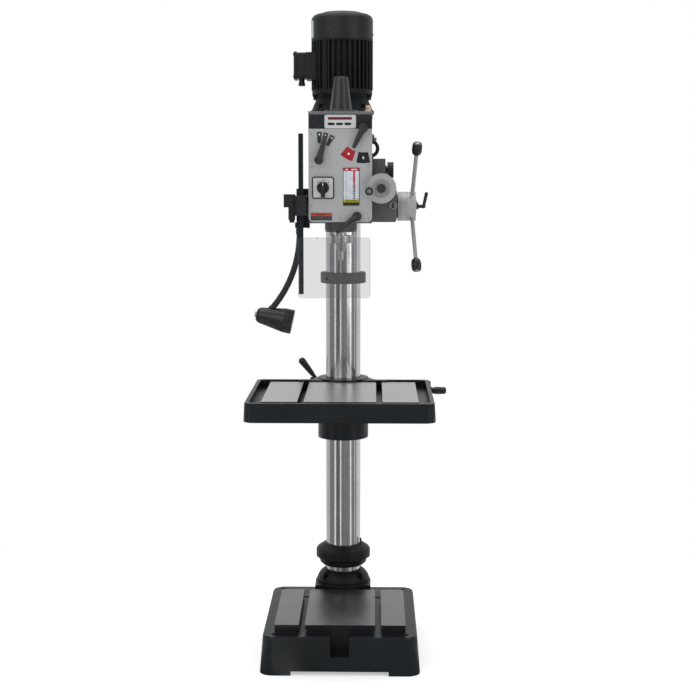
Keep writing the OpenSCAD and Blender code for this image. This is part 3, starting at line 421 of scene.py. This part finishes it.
# Where a node's finish changes, in metres.
BASE_FACE = face_height("base_top")
TABLE_FACE = face_height("table_top")
LIP_BOTTOM = 1.654
LIP_BACK = -0.1195
SCREWS_FRONT = -0.12
WORM_TIP = -0.1655
PLUG_RING = 1.7105
SHIELD_BEND = -0.1625
second_material("base_casting", "ground_base", lambda c, n: n.z > 0.99 and abs(c.z - BASE_FACE) < 0.001)
second_material("work_table", "ground_table", lambda c, n: n.z > 0.99 and abs(c.z - TABLE_FACE) < 0.001)
second_material("head_casting", "lip_paint", lambda c, n: c.z > LIP_BOTTOM and c.y < LIP_BACK)
second_material("cover_screws", "silver_paint", lambda c, n: c.y < SCREWS_FRONT)
second_material("fine_feed_worm", "lever_plastic", lambda c, n: c.y < WORM_TIP)
second_material("oil_filler_plug", "ink_white", lambda c, n: c.z < PLUG_RING)
second_material("guard_shield", "clear_edge",
                lambda c, n: abs(n.y) < 0.5 if c.y < SHIELD_BEND else abs(n.x) < 0.5)


# ---------------------------------------------------------------- mesh tools, all in mm
def at(x=0, y=0, z=0):
    """Placement at a point."""
    return Matrix.Translation((x * MM, y * MM, z * MM))


def turn(degrees, axis):
    """Rotation about an axis through the origin."""
    return Matrix.Rotation(math.radians(degrees), 4, axis)


ALONG_Y = turn(90, "X")
ALONG_X = turn(90, "Y")


def polar(middle, r, degrees):
    """The point at a distance and an angle from straight up, clockwise, round a middle."""
    a = math.radians(degrees)
    return middle[0] + r * math.sin(a), middle[1] + r * math.cos(a)


def round_rect(x0, x1, z0, z1, r, steps=5):
    """Outline of a rectangle with round corners, anticlockwise."""
    pts = []
    corners = ((x1 - r, z1 - r, 0), (x0 + r, z1 - r, 90), (x0 + r, z0 + r, 180), (x1 - r, z0 + r, 270))
    for cx, cz, a0 in corners:
        for k in range(steps + 1):
            a = math.radians(a0 + 90 * k / steps)
            pts.append((cx + r * math.cos(a), cz + r * math.sin(a)))
    return pts


def ring_slice(middle, mid, r0, r1, half, steps=1, down=False):
    """Outline of a slice of a ring; mid is its angle from straight up, or from straight down."""
    k = -1 if down else 1
    angles = [math.radians(mid - half + 2 * half * i / steps) for i in range(steps + 1)]
    pts = [(middle[0] + r0 * math.sin(a), middle[1] + k * r0 * math.cos(a)) for a in angles]
    pts += [(middle[0] + r1 * math.sin(a), middle[1] + k * r1 * math.cos(a)) for a in reversed(angles)]
    return pts


def disc(x, z, r, steps=20):
    """Outline of a disc."""
    return [(x + r * math.cos(2 * math.pi * k / steps), z + r * math.sin(2 * math.pi * k / steps))
            for k in range(steps)]


def prism(bm, outline, y0, y1, mat=0, inner=None):
    """A plate standing in the x, z plane between y0 and y1; inner is an opening with as many points."""
    def loop(pts, y):
        return [bm.verts.new((x * MM, y * MM, z * MM)) for x, z in pts]

    a, b = loop(outline, y0), loop(outline, y1)
    n = len(outline)
    faces = [bm.faces.new((a[i], a[(i + 1) % n], b[(i + 1) % n], b[i])) for i in range(n)]
    if inner:
        c, d = loop(inner, y0), loop(inner, y1)
        for i in range(n):
            j = (i + 1) % n
            faces.append(bm.faces.new((c[j], c[i], d[i], d[j])))
            faces.append(bm.faces.new((a[j], a[i], c[i], c[j])))
            faces.append(bm.faces.new((b[i], b[j], d[j], d[i])))
    else:
        faces.append(bm.faces.new(a[::-1]))
        faces.append(bm.faces.new(b))
    for f in faces:
        f.material_index = mat


def revolve(bm, profile, place, steps=48, mat=0, flutes=0, depth=0.0):
    """Turns (radius, height) points round the local Z of a placement, with optional shallow flutes."""
    rings = []
    for r, h in profile:
        if r < 1e-6:
            rings.append([bm.verts.new(place @ Vector((0, 0, h * MM)))])
            continue
        ring = []
        for k in range(steps):
            a = 2 * math.pi * k / steps
            rr = r * (1 - depth * (0.5 + 0.5 * math.cos(flutes * a))) if flutes else r
            ring.append(bm.verts.new(place @ Vector((rr * MM * math.cos(a), rr * MM * math.sin(a), h * MM))))
        rings.append(ring)
    for p, q in zip(rings, rings[1:]):
        for k in range(steps):
            j = (k + 1) % steps
            if len(p) == 1:
                f = bm.faces.new((p[0], q[j], q[k]))
            elif len(q) == 1:
                f = bm.faces.new((p[k], p[j], q[0]))
            else:
                f = bm.faces.new((p[k], p[j], q[j], q[k]))
            f.material_index = mat


def skin(bm, rings, mat):
    """A capped skin over rings of as many points each."""
    sides = len(rings[0])
    for p, q in zip(rings, rings[1:]):
        for k in range(sides):
            j = (k + 1) % sides
            bm.faces.new((p[k], p[j], q[j], q[k])).material_index = mat
    bm.faces.new(rings[0]).material_index = mat
    bm.faces.new(rings[-1][::-1]).material_index = mat


def arc_tube(bm, middle, r_path, a0, a1, radius_at, steps, sides=24, mat=0):
    """A capped tube along an arc in the x, z plane; radius_at(step) gives its radius in mm."""
    rings = []
    for s in range(steps + 1):
        a = math.radians(a0 + (a1 - a0) * s / steps)
        out = Vector((math.cos(a), 0, math.sin(a)))
        c = Vector(middle) + out * r_path
        r = radius_at(s)
        rings.append([bm.verts.new((c + out * (r * math.cos(t)) + Vector((0, r * math.sin(t), 0))) * MM)
                      for t in (2 * math.pi * k / sides for k in range(sides))])
    skin(bm, rings, mat)


def smooth(obj, degrees=32):
    """Smooth shading that keeps edges sharp above an angle."""
    obj.data.shade_smooth()
    obj.data.set_sharp_from_angle(angle=math.radians(degrees))


def piece(name, bm, body, keys, bevel=0.0, stands_for=()):
    """Finishes a mesh as a piece of the object riding on a body."""
    bmesh.ops.recalc_face_normals(bm, faces=bm.faces)
    me = bpy.data.meshes.new(name)
    for key in keys:
        me.materials.append(M[key])
    bm.to_mesh(me)
    bm.free()
    obj = bpy.data.objects.new(name, me)
    scene.collection.objects.link(obj)
    smooth(obj)
    if bevel:
        mod = obj.modifiers.new("edges", "BEVEL")
        mod.width = bevel * MM
        mod.segments = 2
        mod.limit_method = "ANGLE"
        mod.angle_limit = math.radians(40)
    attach(obj, body)
    if stands_for:
        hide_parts(*stands_for)


for obj in nodes.values():
    smooth(obj)


# ---------------------------------------------------------------- panel badges and charts
COVER_Y = low("front_cover")[1]
LEFT = pivot("left_lever_turn")[::2]
RIGHT = pivot("right_lever_turn")[::2]

# Front and back of a label's layers, in mm before the cover's face.
FILM = (0.8, 0.0)
SYMBOL = (1.0, 0.7)
PRINT = (0.95, 0.7)
OVERPRINT = (1.05, 0.9)
TOP_PRINT = (1.15, 1.0)


def layer(bm, outline, depth, mat=0, inner=None):
    """One layer of a plate or label on the front cover."""
    front, back = depth
    prism(bm, outline, COVER_Y - front, COVER_Y - back, mat, inner)


def name_badge():
    """Rimmed plate above the cover: a red bar over three plain arrow bars in place of a name."""
    silver, red, black = range(3)
    left, right, bottom, top = -47, 47, 1655, 1695
    rim = 1.6
    plate = round_rect(left, right, bottom, top, 5)
    bm = bmesh.new()
    layer(bm, plate, (2, 0), silver)
    layer(bm, plate, (2.5, 1.9), silver, round_rect(left + rim, right - rim, bottom + rim, top - rim, 4))
    layer(bm, round_rect(-36.8, 34.9, 1680.7, 1688.2, 0.6), (2.3, 1.9), red)
    layer(bm, round_rect(-36.8, 34.9, 1687.0, 1688.2, 0.4), (2.4, 1.9), black)
    foot, middle, head = 1664.5, 1668.3, 1672
    for x in (-36.8, -12.0, 12.8):
        arrow = [(x, foot), (x + 17, foot), (x + 22.1, middle), (x + 17, head), (x, head)]
        layer(bm, arrow, (2.3, 1.9), black)
    piece("name_badge", bm, "head", ["plate_alloy", "ink_dark_red", "ink_black"], 0.25,
          ["front_plates"])


def lever_fan_marks():
    """Three slices above the left lever, each with a dot and a bar."""
    grey, white, black = range(3)
    bm = bmesh.new()
    for mid in (1, 15, 30):
        layer(bm, ring_slice(LEFT, mid, 50, 84, 5.4, 4), FILM, grey)
        layer(bm, disc(*polar(LEFT, 76, mid), 2.4), SYMBOL, white)
        layer(bm, ring_slice(LEFT, mid, 56, 70, 1.5), SYMBOL, black)
    piece("lever_fan_marks", bm, "head", ["ink_grey", "ink_white", "ink_black"], 0.2,
          ["front_plates"])


def lever_sector_marks():
    """A red slice with a dot and a black slice with an upright bar, under the right lever."""
    red, black, white = range(3)
    bm = bmesh.new()
    for mid, mat in ((-30, red), (0, black)):
        layer(bm, ring_slice(RIGHT, mid, 72, 104, 11.4, 6, True), FILM, mat)
        x, z = polar(RIGHT, -88, -mid)
        symbol = disc(x, z, 3.2) if mat == red else round_rect(x - 2.2, x + 2.2, z - 4, z + 4, 1.5)
        layer(bm, symbol, SYMBOL, white)
    piece("lever_sector_marks", bm, "head", ["ink_red", "ink_black", "ink_white"], 0.2,
          ["front_plates"])


def speed_chart():
    """Framed chart: red heading, twelve rows with a bar in each of three columns, yellow and olive feet."""
    slate, red, pale, yellow, olive, white, mid, pink, pale_bar, black = range(10)
    left, right, bottom, top = 8, 58, 1425, 1539
    first_row, row_pitch, rows, red_rows = 1525, 7.0, 12, (0, 1, 2, 3, 4, 6)
    bm = bmesh.new()
    layer(bm, round_rect(left, right, bottom, top, 2), FILM, slate)
    layer(bm, round_rect(left + 1, right - 1, 1529.5, top - 1, 1), PRINT, red)
    layer(bm, round_rect(left + 2, right - 2, 1444, 1529, 0.5), PRINT, pale)
    layer(bm, round_rect(left + 2, right - 2, 1435.5, 1443.5, 0.5), PRINT, yellow)
    layer(bm, round_rect(left + 2, right - 2, bottom + 1.5, 1435.2, 0.5), PRINT, olive)
    for x0, x1 in ((15, 24), (33, 51)):
        layer(bm, round_rect(x0, x1, 1532.2, 1535, 0.6), OVERPRINT, white)
    layer(bm, round_rect(15, 51, 1438.2, 1440.8, 0.6), OVERPRINT, olive)
    for k in range(rows):
        z = first_row - row_pitch * k
        layer(bm, round_rect(14.5, 20.5, z - 1.1, z + 1.1, 0.4), OVERPRINT, mid)
        layer(bm, round_rect(25.5, 31.5, z - 0.8, z + 0.8, 0.3), OVERPRINT, pale_bar)
        if k in red_rows:
            layer(bm, round_rect(38, 45.4, z - 3.3, z + 3.3, 0.3), OVERPRINT, pink)
            layer(bm, round_rect(40.2, 43.6, z - 1.5, z + 1.5, 0.4), TOP_PRINT, red)
        else:
            layer(bm, round_rect(39, 44.6, z - 2.2, z + 2.2, 0.5), OVERPRINT, black)
    piece("speed_chart", bm, "head",
          ["ink_frame", "ink_red", "ink_pale", "ink_yellow", "ink_olive", "ink_white", "ink_mid", "ink_pink",
           "ink_pale", "ink_black"], 0.0, ["front_plates"])


def caution_strip():
    """Orange and grey strip with plain bars in place of its wording."""
    grey, orange, rust, slate = range(4)
    left, right, bottom, top = -89, -25, 1381, 1404
    bm = bmesh.new()
    layer(bm, round_rect(left, right, bottom, top, 1.2), FILM, grey)
    layer(bm, round_rect(left + 1, right - 1, 1394.5, top - 1, 0.6), PRINT, orange)
    layer(bm, round_rect(-73, -41, 1397, 1400.8, 0.6), OVERPRINT, rust)
    for z, x0 in ((1390.4, -70), (1387.2, -60), (1384.0, -70)):
        layer(bm, round_rect(x0, -33, z - 0.7, z + 0.7, 0.3), (1.05, 0.7), slate)
    piece("caution_strip", bm, "head", ["ink_grey", "ink_orange", "ink_rust", "ink_frame"], 0.0,
          ["front_plates"])


name_badge()
lever_fan_marks()
lever_sector_marks()
speed_chart()
caution_strip()


# ---------------------------------------------------------------- switch
SWITCH = pivot("switch_turn")[::2]


def switch_bezel():
    """Rim round the switch plate, and a mark for each of the three positions."""
    black, grey = range(2)
    x, z = SWITCH
    half_w, half_h, rim = 33.2, 33, 3.4
    bm = bmesh.new()
    layer(bm, round_rect(x - half_w, x + half_w, z - half_h, z + half_h, 6.5), (4.2, 0.2), black,
          round_rect(x - half_w + rim, x + half_w - rim, z - half_h + rim, z + half_h - rim, 4))
    r0, r1 = 20.5, 24.5
    for a in (-45, 0, 45):
        s, c = math.sin(math.radians(a)), math.cos(math.radians(a))
        mark = [(x + r0 * s - c, z + r0 * c + s), (x + r0 * s + c, z + r0 * c - s),
                (x + r1 * s + c, z + r1 * c - s), (x + r1 * s - c, z + r1 * c + s)]
        layer(bm, mark, (3.3, 2.9), grey)
    piece("switch_bezel", bm, "head", ["black_plastic", "ink_grey"], 0.7)


def switch_pointer():
    """The knob's tail, and a white line on its grip."""
    x, z = SWITCH
    bm = bmesh.new()
    tail = [(x - 6, z - 10), (x + 6, z - 10), (x + 6.4, z - 26.5), (x + 4.4, z - 28.6), (x - 4.4, z - 28.6),
            (x - 6.4, z - 26.5)]
    prism(bm, tail, -167.5, -159.0)
    prism(bm, round_rect(x - 0.9, x + 0.9, z + 6, z + 17, 0.8), -182.4, -181.6, 1)
    piece("switch_pointer", bm, "switch", ["black_plastic", "ink_white"], 0.9)


switch_bezel()
switch_pointer()


# ---------------------------------------------------------------- quill feed: handwheel, dial, hub and knobs
FEED_Y, FEED_Z = pivot("feed_turn")[1:]
HUB_R = high("feed_hub")[1] - FEED_Y


def handwheel_ring():
    """Raised ring on the face of the handwheel."""
    bm = bmesh.new()
    revolve(bm, [(26.8, 0.1), (26.8, 2.2), (24.6, 3.0), (22.4, 2.2), (20.8, 0.6), (20.8, 0.1), (26.8, 0.1)],
            at(*pivot("fine_feed_turn")) @ ALONG_Y, 64)
    piece("handwheel_ring", bm, "fine_feed", ["wheel_light"])


def handwheel_knob_ring():
    """Screw head and washer on the end of the handwheel's knob."""
    x, _, z = pivot("handwheel_knob_spin")
    bm = bmesh.new()
    revolve(bm, [(0, 0.9), (2.4, 0.8), (2.8, -0.2), (4.4, -0.2), (4.8, 0.9), (6.2, 0.9), (6.6, -0.4),
                 (0, -0.4)], at(x, low("handwheel_knob")[1], z) @ ALONG_Y)
    piece("handwheel_knob_ring", bm, "handwheel_knob", ["ink_mid"])


def dial_graduations():
    """A hundred marks round the dial, longer at every fifth and tenth, two turned lines, and a dark ring of
    painted shade at the seam between the dial and the hub.
    """
    marks, start, half = 100, 176.6, 0.28
    bm = bmesh.new()
    for k in range(marks):
        around = turn(360 / marks * k, "X")
        end = start + (6.5 if k % 10 == 0 else (4.8 if k % 5 == 0 else 3.2))
        corners = []
        for r in (HUB_R - 0.05, HUB_R + 0.07):
            for x, t in ((start, -half), (end, -half), (end, half), (start, half)):
                p = around @ Vector((0, t, r))
                corners.append(bm.verts.new((x * MM, (FEED_Y + p.y) * MM, (FEED_Z + p.z) * MM)))
        for q in ((3, 2, 1, 0), (4, 5, 6, 7), (0, 1, 5, 4), (1, 2, 6, 5), (2, 3, 7, 6), (3, 0, 4, 7)):
            bm.faces.new([corners[i] for i in q])
    # The ring at 202.4 is painted shade along the seam where the dial meets the hub; the other two are turned
    # lines.
    for x in (175.0, 184.6, 202.4):
        revolve(bm, [(44.9, x), (45.12, x), (45.12, x + 0.5), (44.9, x + 0.5), (44.9, x)],
                at(0, FEED_Y, FEED_Z) @ ALONG_X, 96)
    piece("dial_graduations", bm, "feed", ["ink_grey"])


def hub_set_screws():
    """Five set screws round the hub."""
    bm = bmesh.new()
    for a in (52, 142, -90, -38, -142):
        revolve(bm, [(0, 44.6), (1.6, 44.6), (1.8, 45.1), (3.2, 45.15), (3.6, 44.8), (3.6, 43.9), (0, 43.9)],
                at(213, FEED_Y, FEED_Z) @ turn(a, "X"), 20)
    piece("hub_set_screws", bm, "feed", ["black_plastic"])


def handle_knobs_fluted():
    """The three feed handles' knobs, with eight shallow flutes each."""
    hub_x, reach, lean = 217, 203, 4
    bm = bmesh.new()
    for a in (30, 150, 270):
        place = at(hub_x, FEED_Y, FEED_Z) @ turn(a, "X") @ turn(lean, "Y") @ at(0, 0, reach)
        revolve(bm, [(6.4, -20.5), (9, -20), (12.2, -16.5), (14.9, -11.5), (16, -4), (16, 3), (15.3, 12),
                     (13.9, 17), (12.4, 19), (9, 19.9), (0, 20)], place, 96, 0, 8, 0.05)
        revolve(bm, [(6.4, -20.5), (6.4, 0.0)], place, 96)
    piece("handle_knobs_fluted", bm, "feed", ["black_plastic"], 0.0, ["handle_knobs"])


FEED_STOP = (159.5, -100, 1425)


def feed_stop_boss():
    """Round boss on the feed housing."""
    bm = bmesh.new()
    revolve(bm, [(0, 2.2), (5.5, 2.2), (6, 3.4), (11.2, 3.4), (12.6, 2.4), (13, 0), (0, 0)],
            at(*FEED_STOP) @ ALONG_Y)
    piece("feed_stop_boss", bm, "head", ["cover_grey"])


def feed_stop_slot_shade():
    """Black patch of painted shade standing for the slot in the boss, with the bright stop that shows in it.
    """
    x, y, z = FEED_STOP
    bm = bmesh.new()
    # Painted shade: a black patch, just proud of the boss, stands for the dark inside of the slot.
    prism(bm, round_rect(x - 3.6, x + 3.6, z - 8, z + 8, 3.2), y - 3.9, y - 2.0)
    prism(bm, round_rect(x - 0.2, x + 2.2, z - 1.5, z + 3.5, 1), y - 4.4, y - 3.6, 1)
    piece("feed_stop_slot_shade", bm, "head", ["ink_black", "bright_steel"], 0.4)


handwheel_ring()
handwheel_knob_ring()
dial_graduations()
hub_set_screws()
handle_knobs_fluted()
feed_stop_boss()
feed_stop_slot_shade()


# ---------------------------------------------------------------- motor
MOTOR_Y = pivot("motor_spin")[1]
COWL_Z = low("fan_cowl")[2]


def cowl_strip(bm, angles, radii, heights, steps, mat=0):
    """A plate bent round the fan cowl between two angles, radii and heights above the cowl's foot."""
    (a0, a1), (r0, r1), (z0, z1) = angles, radii, heights
    rings = []
    for k in range(steps + 1):
        a = math.radians(a0 + (a1 - a0) * k / steps)
        s, c = math.sin(a), math.cos(a)
        rings.append([bm.verts.new((r * MM * s, (MOTOR_Y - r * c) * MM, (COWL_Z + z) * MM))
                      for r, z in ((r0, z0), (r1, z0), (r1, z1), (r0, z1))])
    skin(bm, rings, mat)


def motor_rating_plate():
    """Bent plate on the cowl's left side, with a heading bar and five rows of print."""
    print_radii = (97.5, 97.75)
    bm = bmesh.new()
    cowl_strip(bm, (-104, -66), (96.8, 97.6), (5, 57), 14)
    cowl_strip(bm, (-98, -72), print_radii, (46, 53), 8, 1)
    for k, end in enumerate((-70, -70, -70, -70, -82)):
        z = 38 - 7 * k
        cowl_strip(bm, (-100, end), print_radii, (z, z + 1.5), 8, 1)
    piece("motor_rating_plate", bm, "head", ["plate_alloy", "ink_mid"])


def cowl_screws():
    """Three dished screws that hold the fan cowl."""
    bm = bmesh.new()
    for a in (-24.5, 95.5, 215.5):
        place = at(0, MOTOR_Y, COWL_Z + 18) @ turn(a, "Z") @ ALONG_Y
        revolve(bm, [(0, 99.0), (1.3, 98.9), (1.5, 98.2), (2.6, 98.6), (4.0, 97.9), (4.4, 96.9), (4.4, 96),
                     (0, 96)], place, 24)
    piece("cowl_screws", bm, "head", ["dark_steel"])


motor_rating_plate()
cowl_screws()


# ---------------------------------------------------------------- conduit and gooseneck
def conduit_corrugated():
    """Corrugated elbow on the head's right side, with a gland at each end."""
    side_x = low("wiring_conduit")[0]
    _, y, z = middle_of("wiring_conduit")
    steps, r_bend = 96, 23
    bm = bmesh.new()
    arc_tube(bm, (side_x - 5.5, y, z), r_bend, -79, 79,
             lambda s: (6.0, 6.0, 5.1, 5.1)[s % 4] if 6 < s < steps - 6 else 5.5, steps)
    for sign in (-1, 1):
        revolve(bm, [(0, 0), (8.4, 0), (8.4, 2.5), (7.6, 4.0), (6.4, 4.9), (5.6, 5.1), (0, 5.1)],
                at(side_x, y, z + sign * 22.4) @ ALONG_X, 30, 1)
    piece("conduit_corrugated", bm, "head", ["rubber_black", "black_matte"], 0.0,
          ["wiring_conduit"])


def gooseneck_ribbed():
    """The lamp's arm: a seat, a ribbed stretch bent on one radius, and a ball at its end."""
    seat_r, r_path, bend, rib_pitch = 11, 353, 40.8, 3.2
    seat_x, _, seat_z = high("lamp_gooseneck")
    x = seat_x - seat_r
    y = middle_of("lamp_gooseneck")[1]
    top = seat_z - 25
    bm = bmesh.new()
    steps = int(math.radians(bend) * r_path / rib_pitch) * 4
    arc_tube(bm, (x - r_path, y, top), r_path, -bend, 0,
             lambda s: (9.6, 9.6, 9.15, 9.15)[s % 4] if s < steps - 6 else 9.6, steps, 28)
    revolve(bm, [(0, top - 4), (9.4, top - 4), (seat_r, top - 2), (seat_r, seat_z - 11), (10.6, seat_z - 9.5),
                 (10.95, seat_z - 8), (10.95, seat_z), (0, seat_z)], at(x, y, 0), 40, 1)
    s, c = math.sin(math.radians(bend)), math.cos(math.radians(bend))
    ball_r = 11
    arc = [polar((0, 0), ball_r, 180 - t) for t in range(10, 180, 10)]
    ball = at(x - r_path * (1 - c) - s, y, top - r_path * s - c)
    revolve(bm, [(0, -ball_r), *arc, (0, ball_r)], ball, 32, 1)
    piece("gooseneck_ribbed", bm, "head", ["rubber_black", "black_matte"], 0.0,
          ["lamp_gooseneck"])


conduit_corrugated()
gooseneck_ribbed()

# ---------------------------------------------------------------- lamp and guard
# The lamp's socket; its axis points 12 degrees below level, towards the work.
LAMP = at(-204.5, -95, 1078.8) @ turn(90 + 12, "Y")


def lamp_reflector():
    """Bright cone inside the lamp's hood."""
    bm = bmesh.new()
    revolve(bm, [(0, 6.4), (12, 6.4), (24.6, 7.2), (33.2, 55.5), (34.0, 57.2), (33.4, 57.6), (32.4, 56),
                 (24, 8.4), (12, 7.6), (0, 7.6)], LAMP, 56)
    piece("lamp_reflector", bm, "lamp", ["plate_alloy"])


def lamp_bulb():
    """Frosted reflector bulb."""
    bm = bmesh.new()
    revolve(bm, [(0, 7.5), (7.5, 7.5), (8.2, 14), (9, 18), (15, 27), (18.6, 36), (17.4, 44), (12, 50),
                 (6, 52.6), (0, 53.4)], LAMP, 40)
    piece("lamp_bulb", bm, "lamp", ["bulb"])


def shield_screws():
    """Two dished screws that hold the shield to its bar."""
    x = middle_of("guard_bar")[0]
    bm = bmesh.new()
    for z in (1198, 1283):
        revolve(bm, [(0, 2.6), (1.6, 2.4), (1.8, 1.5), (3.2, 2.2), (4.8, 1.5), (5.2, 0.4), (5.2, 0), (0, 0)],
                at(x, low("guard_shield")[1], z) @ ALONG_Y, 28)
    piece("shield_screws", bm, "guard", ["dark_steel"])


def shield_clip():
    """Small clip on the shield's top edge."""
    y = low("guard_shield")[1]
    top = high("guard_shield")[2]
    bm = bmesh.new()
    prism(bm, round_rect(-72, -67.5, top - 3.5, top, 1.2), y - 1, y)
    piece("shield_clip", bm, "guard", ["ink_mid"], 0.3)


lamp_reflector()
lamp_bulb()
shield_screws()
shield_clip()

# ---------------------------------------------------------------- studio
# Brightness round the room by azimuth in degrees from the camera side, +X positive.
BACK, DIM, FRONT, STRIP = 0.27, 0.098, 0.060, 0.60
ROOM = [(-180, BACK), (-104, BACK), (-97, DIM), (-58, DIM), (-56.5, STRIP), (-50.5, STRIP),
        (-49, FRONT), (-19, FRONT), (-18, STRIP), (-13, STRIP), (-12, FRONT), (8, DIM), (48, DIM),
        (49.5, STRIP), (55, STRIP), (56.5, DIM), (80, DIM), (82, BACK), (86, BACK), (88, DIM), (97, DIM),
        (104, BACK), (180, BACK)]
ROOM_GAIN = 3.0


def azimuth_glow(nt, x, y):
    """The room's brightness, divided by ROOM_GAIN, in the direction x, y."""
    neg = nt.nodes.new("ShaderNodeMath")
    neg.operation = "MULTIPLY"
    neg.inputs[1].default_value = -1.0
    nt.links.new(y, neg.inputs[0])
    az = nt.nodes.new("ShaderNodeMath")
    az.operation = "ARCTAN2"
    nt.links.new(x, az.inputs[0])
    nt.links.new(neg.outputs[0], az.inputs[1])
    pos = scalar(nt, az.outputs[0], 0.0, 1.0, -math.pi, math.pi)
    return ramp(nt, pos, [((a + 180) / 360, (v, v, v)) for a, v in ROOM])


def split_xyz(nt, vector):
    xyz = nt.nodes.new("ShaderNodeSeparateXYZ")
    nt.links.new(vector, xyz.inputs[0])
    return xyz.outputs


def mix_shader(nt, fac, a, b):
    m = nt.nodes.new("ShaderNodeMixShader")
    nt.links.new(fac, m.inputs[0])
    nt.links.new(a.outputs[0], m.inputs[1])
    nt.links.new(b.outputs[0], m.inputs[2])
    return m


def studio_world():
    """White where the camera sees it; a room with bright strips for light and reflections."""
    world = bpy.data.worlds.new("studio")
    scene.world = world
    world.use_nodes = True
    nt = world.node_tree
    nt.nodes.clear()
    direction = split_xyz(nt, nt.nodes.new("ShaderNodeTexCoord").outputs["Generated"])
    room = nt.nodes.new("ShaderNodeBackground")
    room.inputs["Strength"].default_value = ROOM_GAIN
    nt.links.new(azimuth_glow(nt, direction["X"], direction["Y"]), room.inputs["Color"])
    seen = nt.nodes.new("ShaderNodeBackground")
    seen.inputs["Color"].default_value = (1, 1, 1, 1)
    path = nt.nodes.new("ShaderNodeLightPath")
    both = mix_shader(nt, path.outputs["Is Camera Ray"], room, seen)
    out = nt.nodes.new("ShaderNodeOutputWorld")
    nt.links.new(both.outputs[0], out.inputs["Surface"])


def area(name, loc, target, size, power):
    """Rectangular light aimed at a target."""
    d = bpy.data.lights.new(name, "AREA")
    d.shape = "RECTANGLE"
    d.size, d.size_y = size
    d.energy = power
    o = bpy.data.objects.new(name, d)
    scene.collection.objects.link(o)
    o.location = loc
    o.rotation_euler = (Vector(target) - Vector(loc)).to_track_quat("-Z", "Y").to_euler()


def stage_material():
    """White floor that fades into the white background; in reflections it continues the room's strips."""
    m, nt, bsdf = new_mat("floor_white")
    place = nt.nodes.new("ShaderNodeTexCoord").outputs["Object"]
    length = nt.nodes.new("ShaderNodeVectorMath")
    length.operation = "LENGTH"
    nt.links.new(place, length.inputs[0])
    far = scalar(nt, length.outputs["Value"], 0.0, 1.0, 0.7, 1.8)
    from_column = nt.nodes.new("ShaderNodeVectorMath")
    from_column.operation = "SUBTRACT"
    from_column.inputs[1].default_value = (column.x, column.y, 0)
    nt.links.new(place, from_column.inputs[0])
    direction = split_xyz(nt, from_column.outputs[0])
    mirrored = nt.nodes.new("ShaderNodeEmission")
    mirrored.inputs["Strength"].default_value = ROOM_GAIN * 0.9
    nt.links.new(azimuth_glow(nt, direction["X"], direction["Y"]), mirrored.inputs["Color"])
    white = nt.nodes.new("ShaderNodeEmission")
    bsdf.inputs["Base Color"].default_value = (0.93, 0.93, 0.93, 1)
    bsdf.inputs["Roughness"].default_value = 0.9
    bsdf.inputs["Specular IOR Level"].default_value = 0.0
    bsdf.inputs["Emission Color"].default_value = (1, 1, 1, 1)
    bsdf.inputs["Emission Strength"].default_value = 0.45
    glossy = nt.nodes.new("ShaderNodeLightPath").outputs["Is Glossy Ray"]
    edge = mix_shader(nt, glossy, white, mirrored)
    near = mix_shader(nt, glossy, bsdf, edge)
    both = mix_shader(nt, far, near, edge)
    out = next(n for n in nt.nodes if n.type == "OUTPUT_MATERIAL")
    nt.links.new(both.outputs[0], out.inputs["Surface"])
    return m


def stage():
    """Round white floor just under the feet."""
    bm = bmesh.new()
    bmesh.ops.create_circle(bm, cap_ends=True, segments=96, radius=14.0)
    me = bpy.data.meshes.new("floor")
    bm.to_mesh(me)
    bm.free()
    floor = bpy.data.objects.new("floor", me)
    scene.collection.objects.link(floor)
    floor.location = (0, 0, -0.0004)
    me.materials.append(stage_material())


studio_world()
area("key", (-2.6, -3.6, 3.4), (0, 0, 1.1), (3.2, 3.6), 52)
area("fill", (3.0, -3.2, 2.2), (0, 0, 1.0), (2.6, 3.4), 34)
area("top", (0, 0.2, 4.4), (0, 0, 0.8), (3.0, 3.0), 50)
stage()
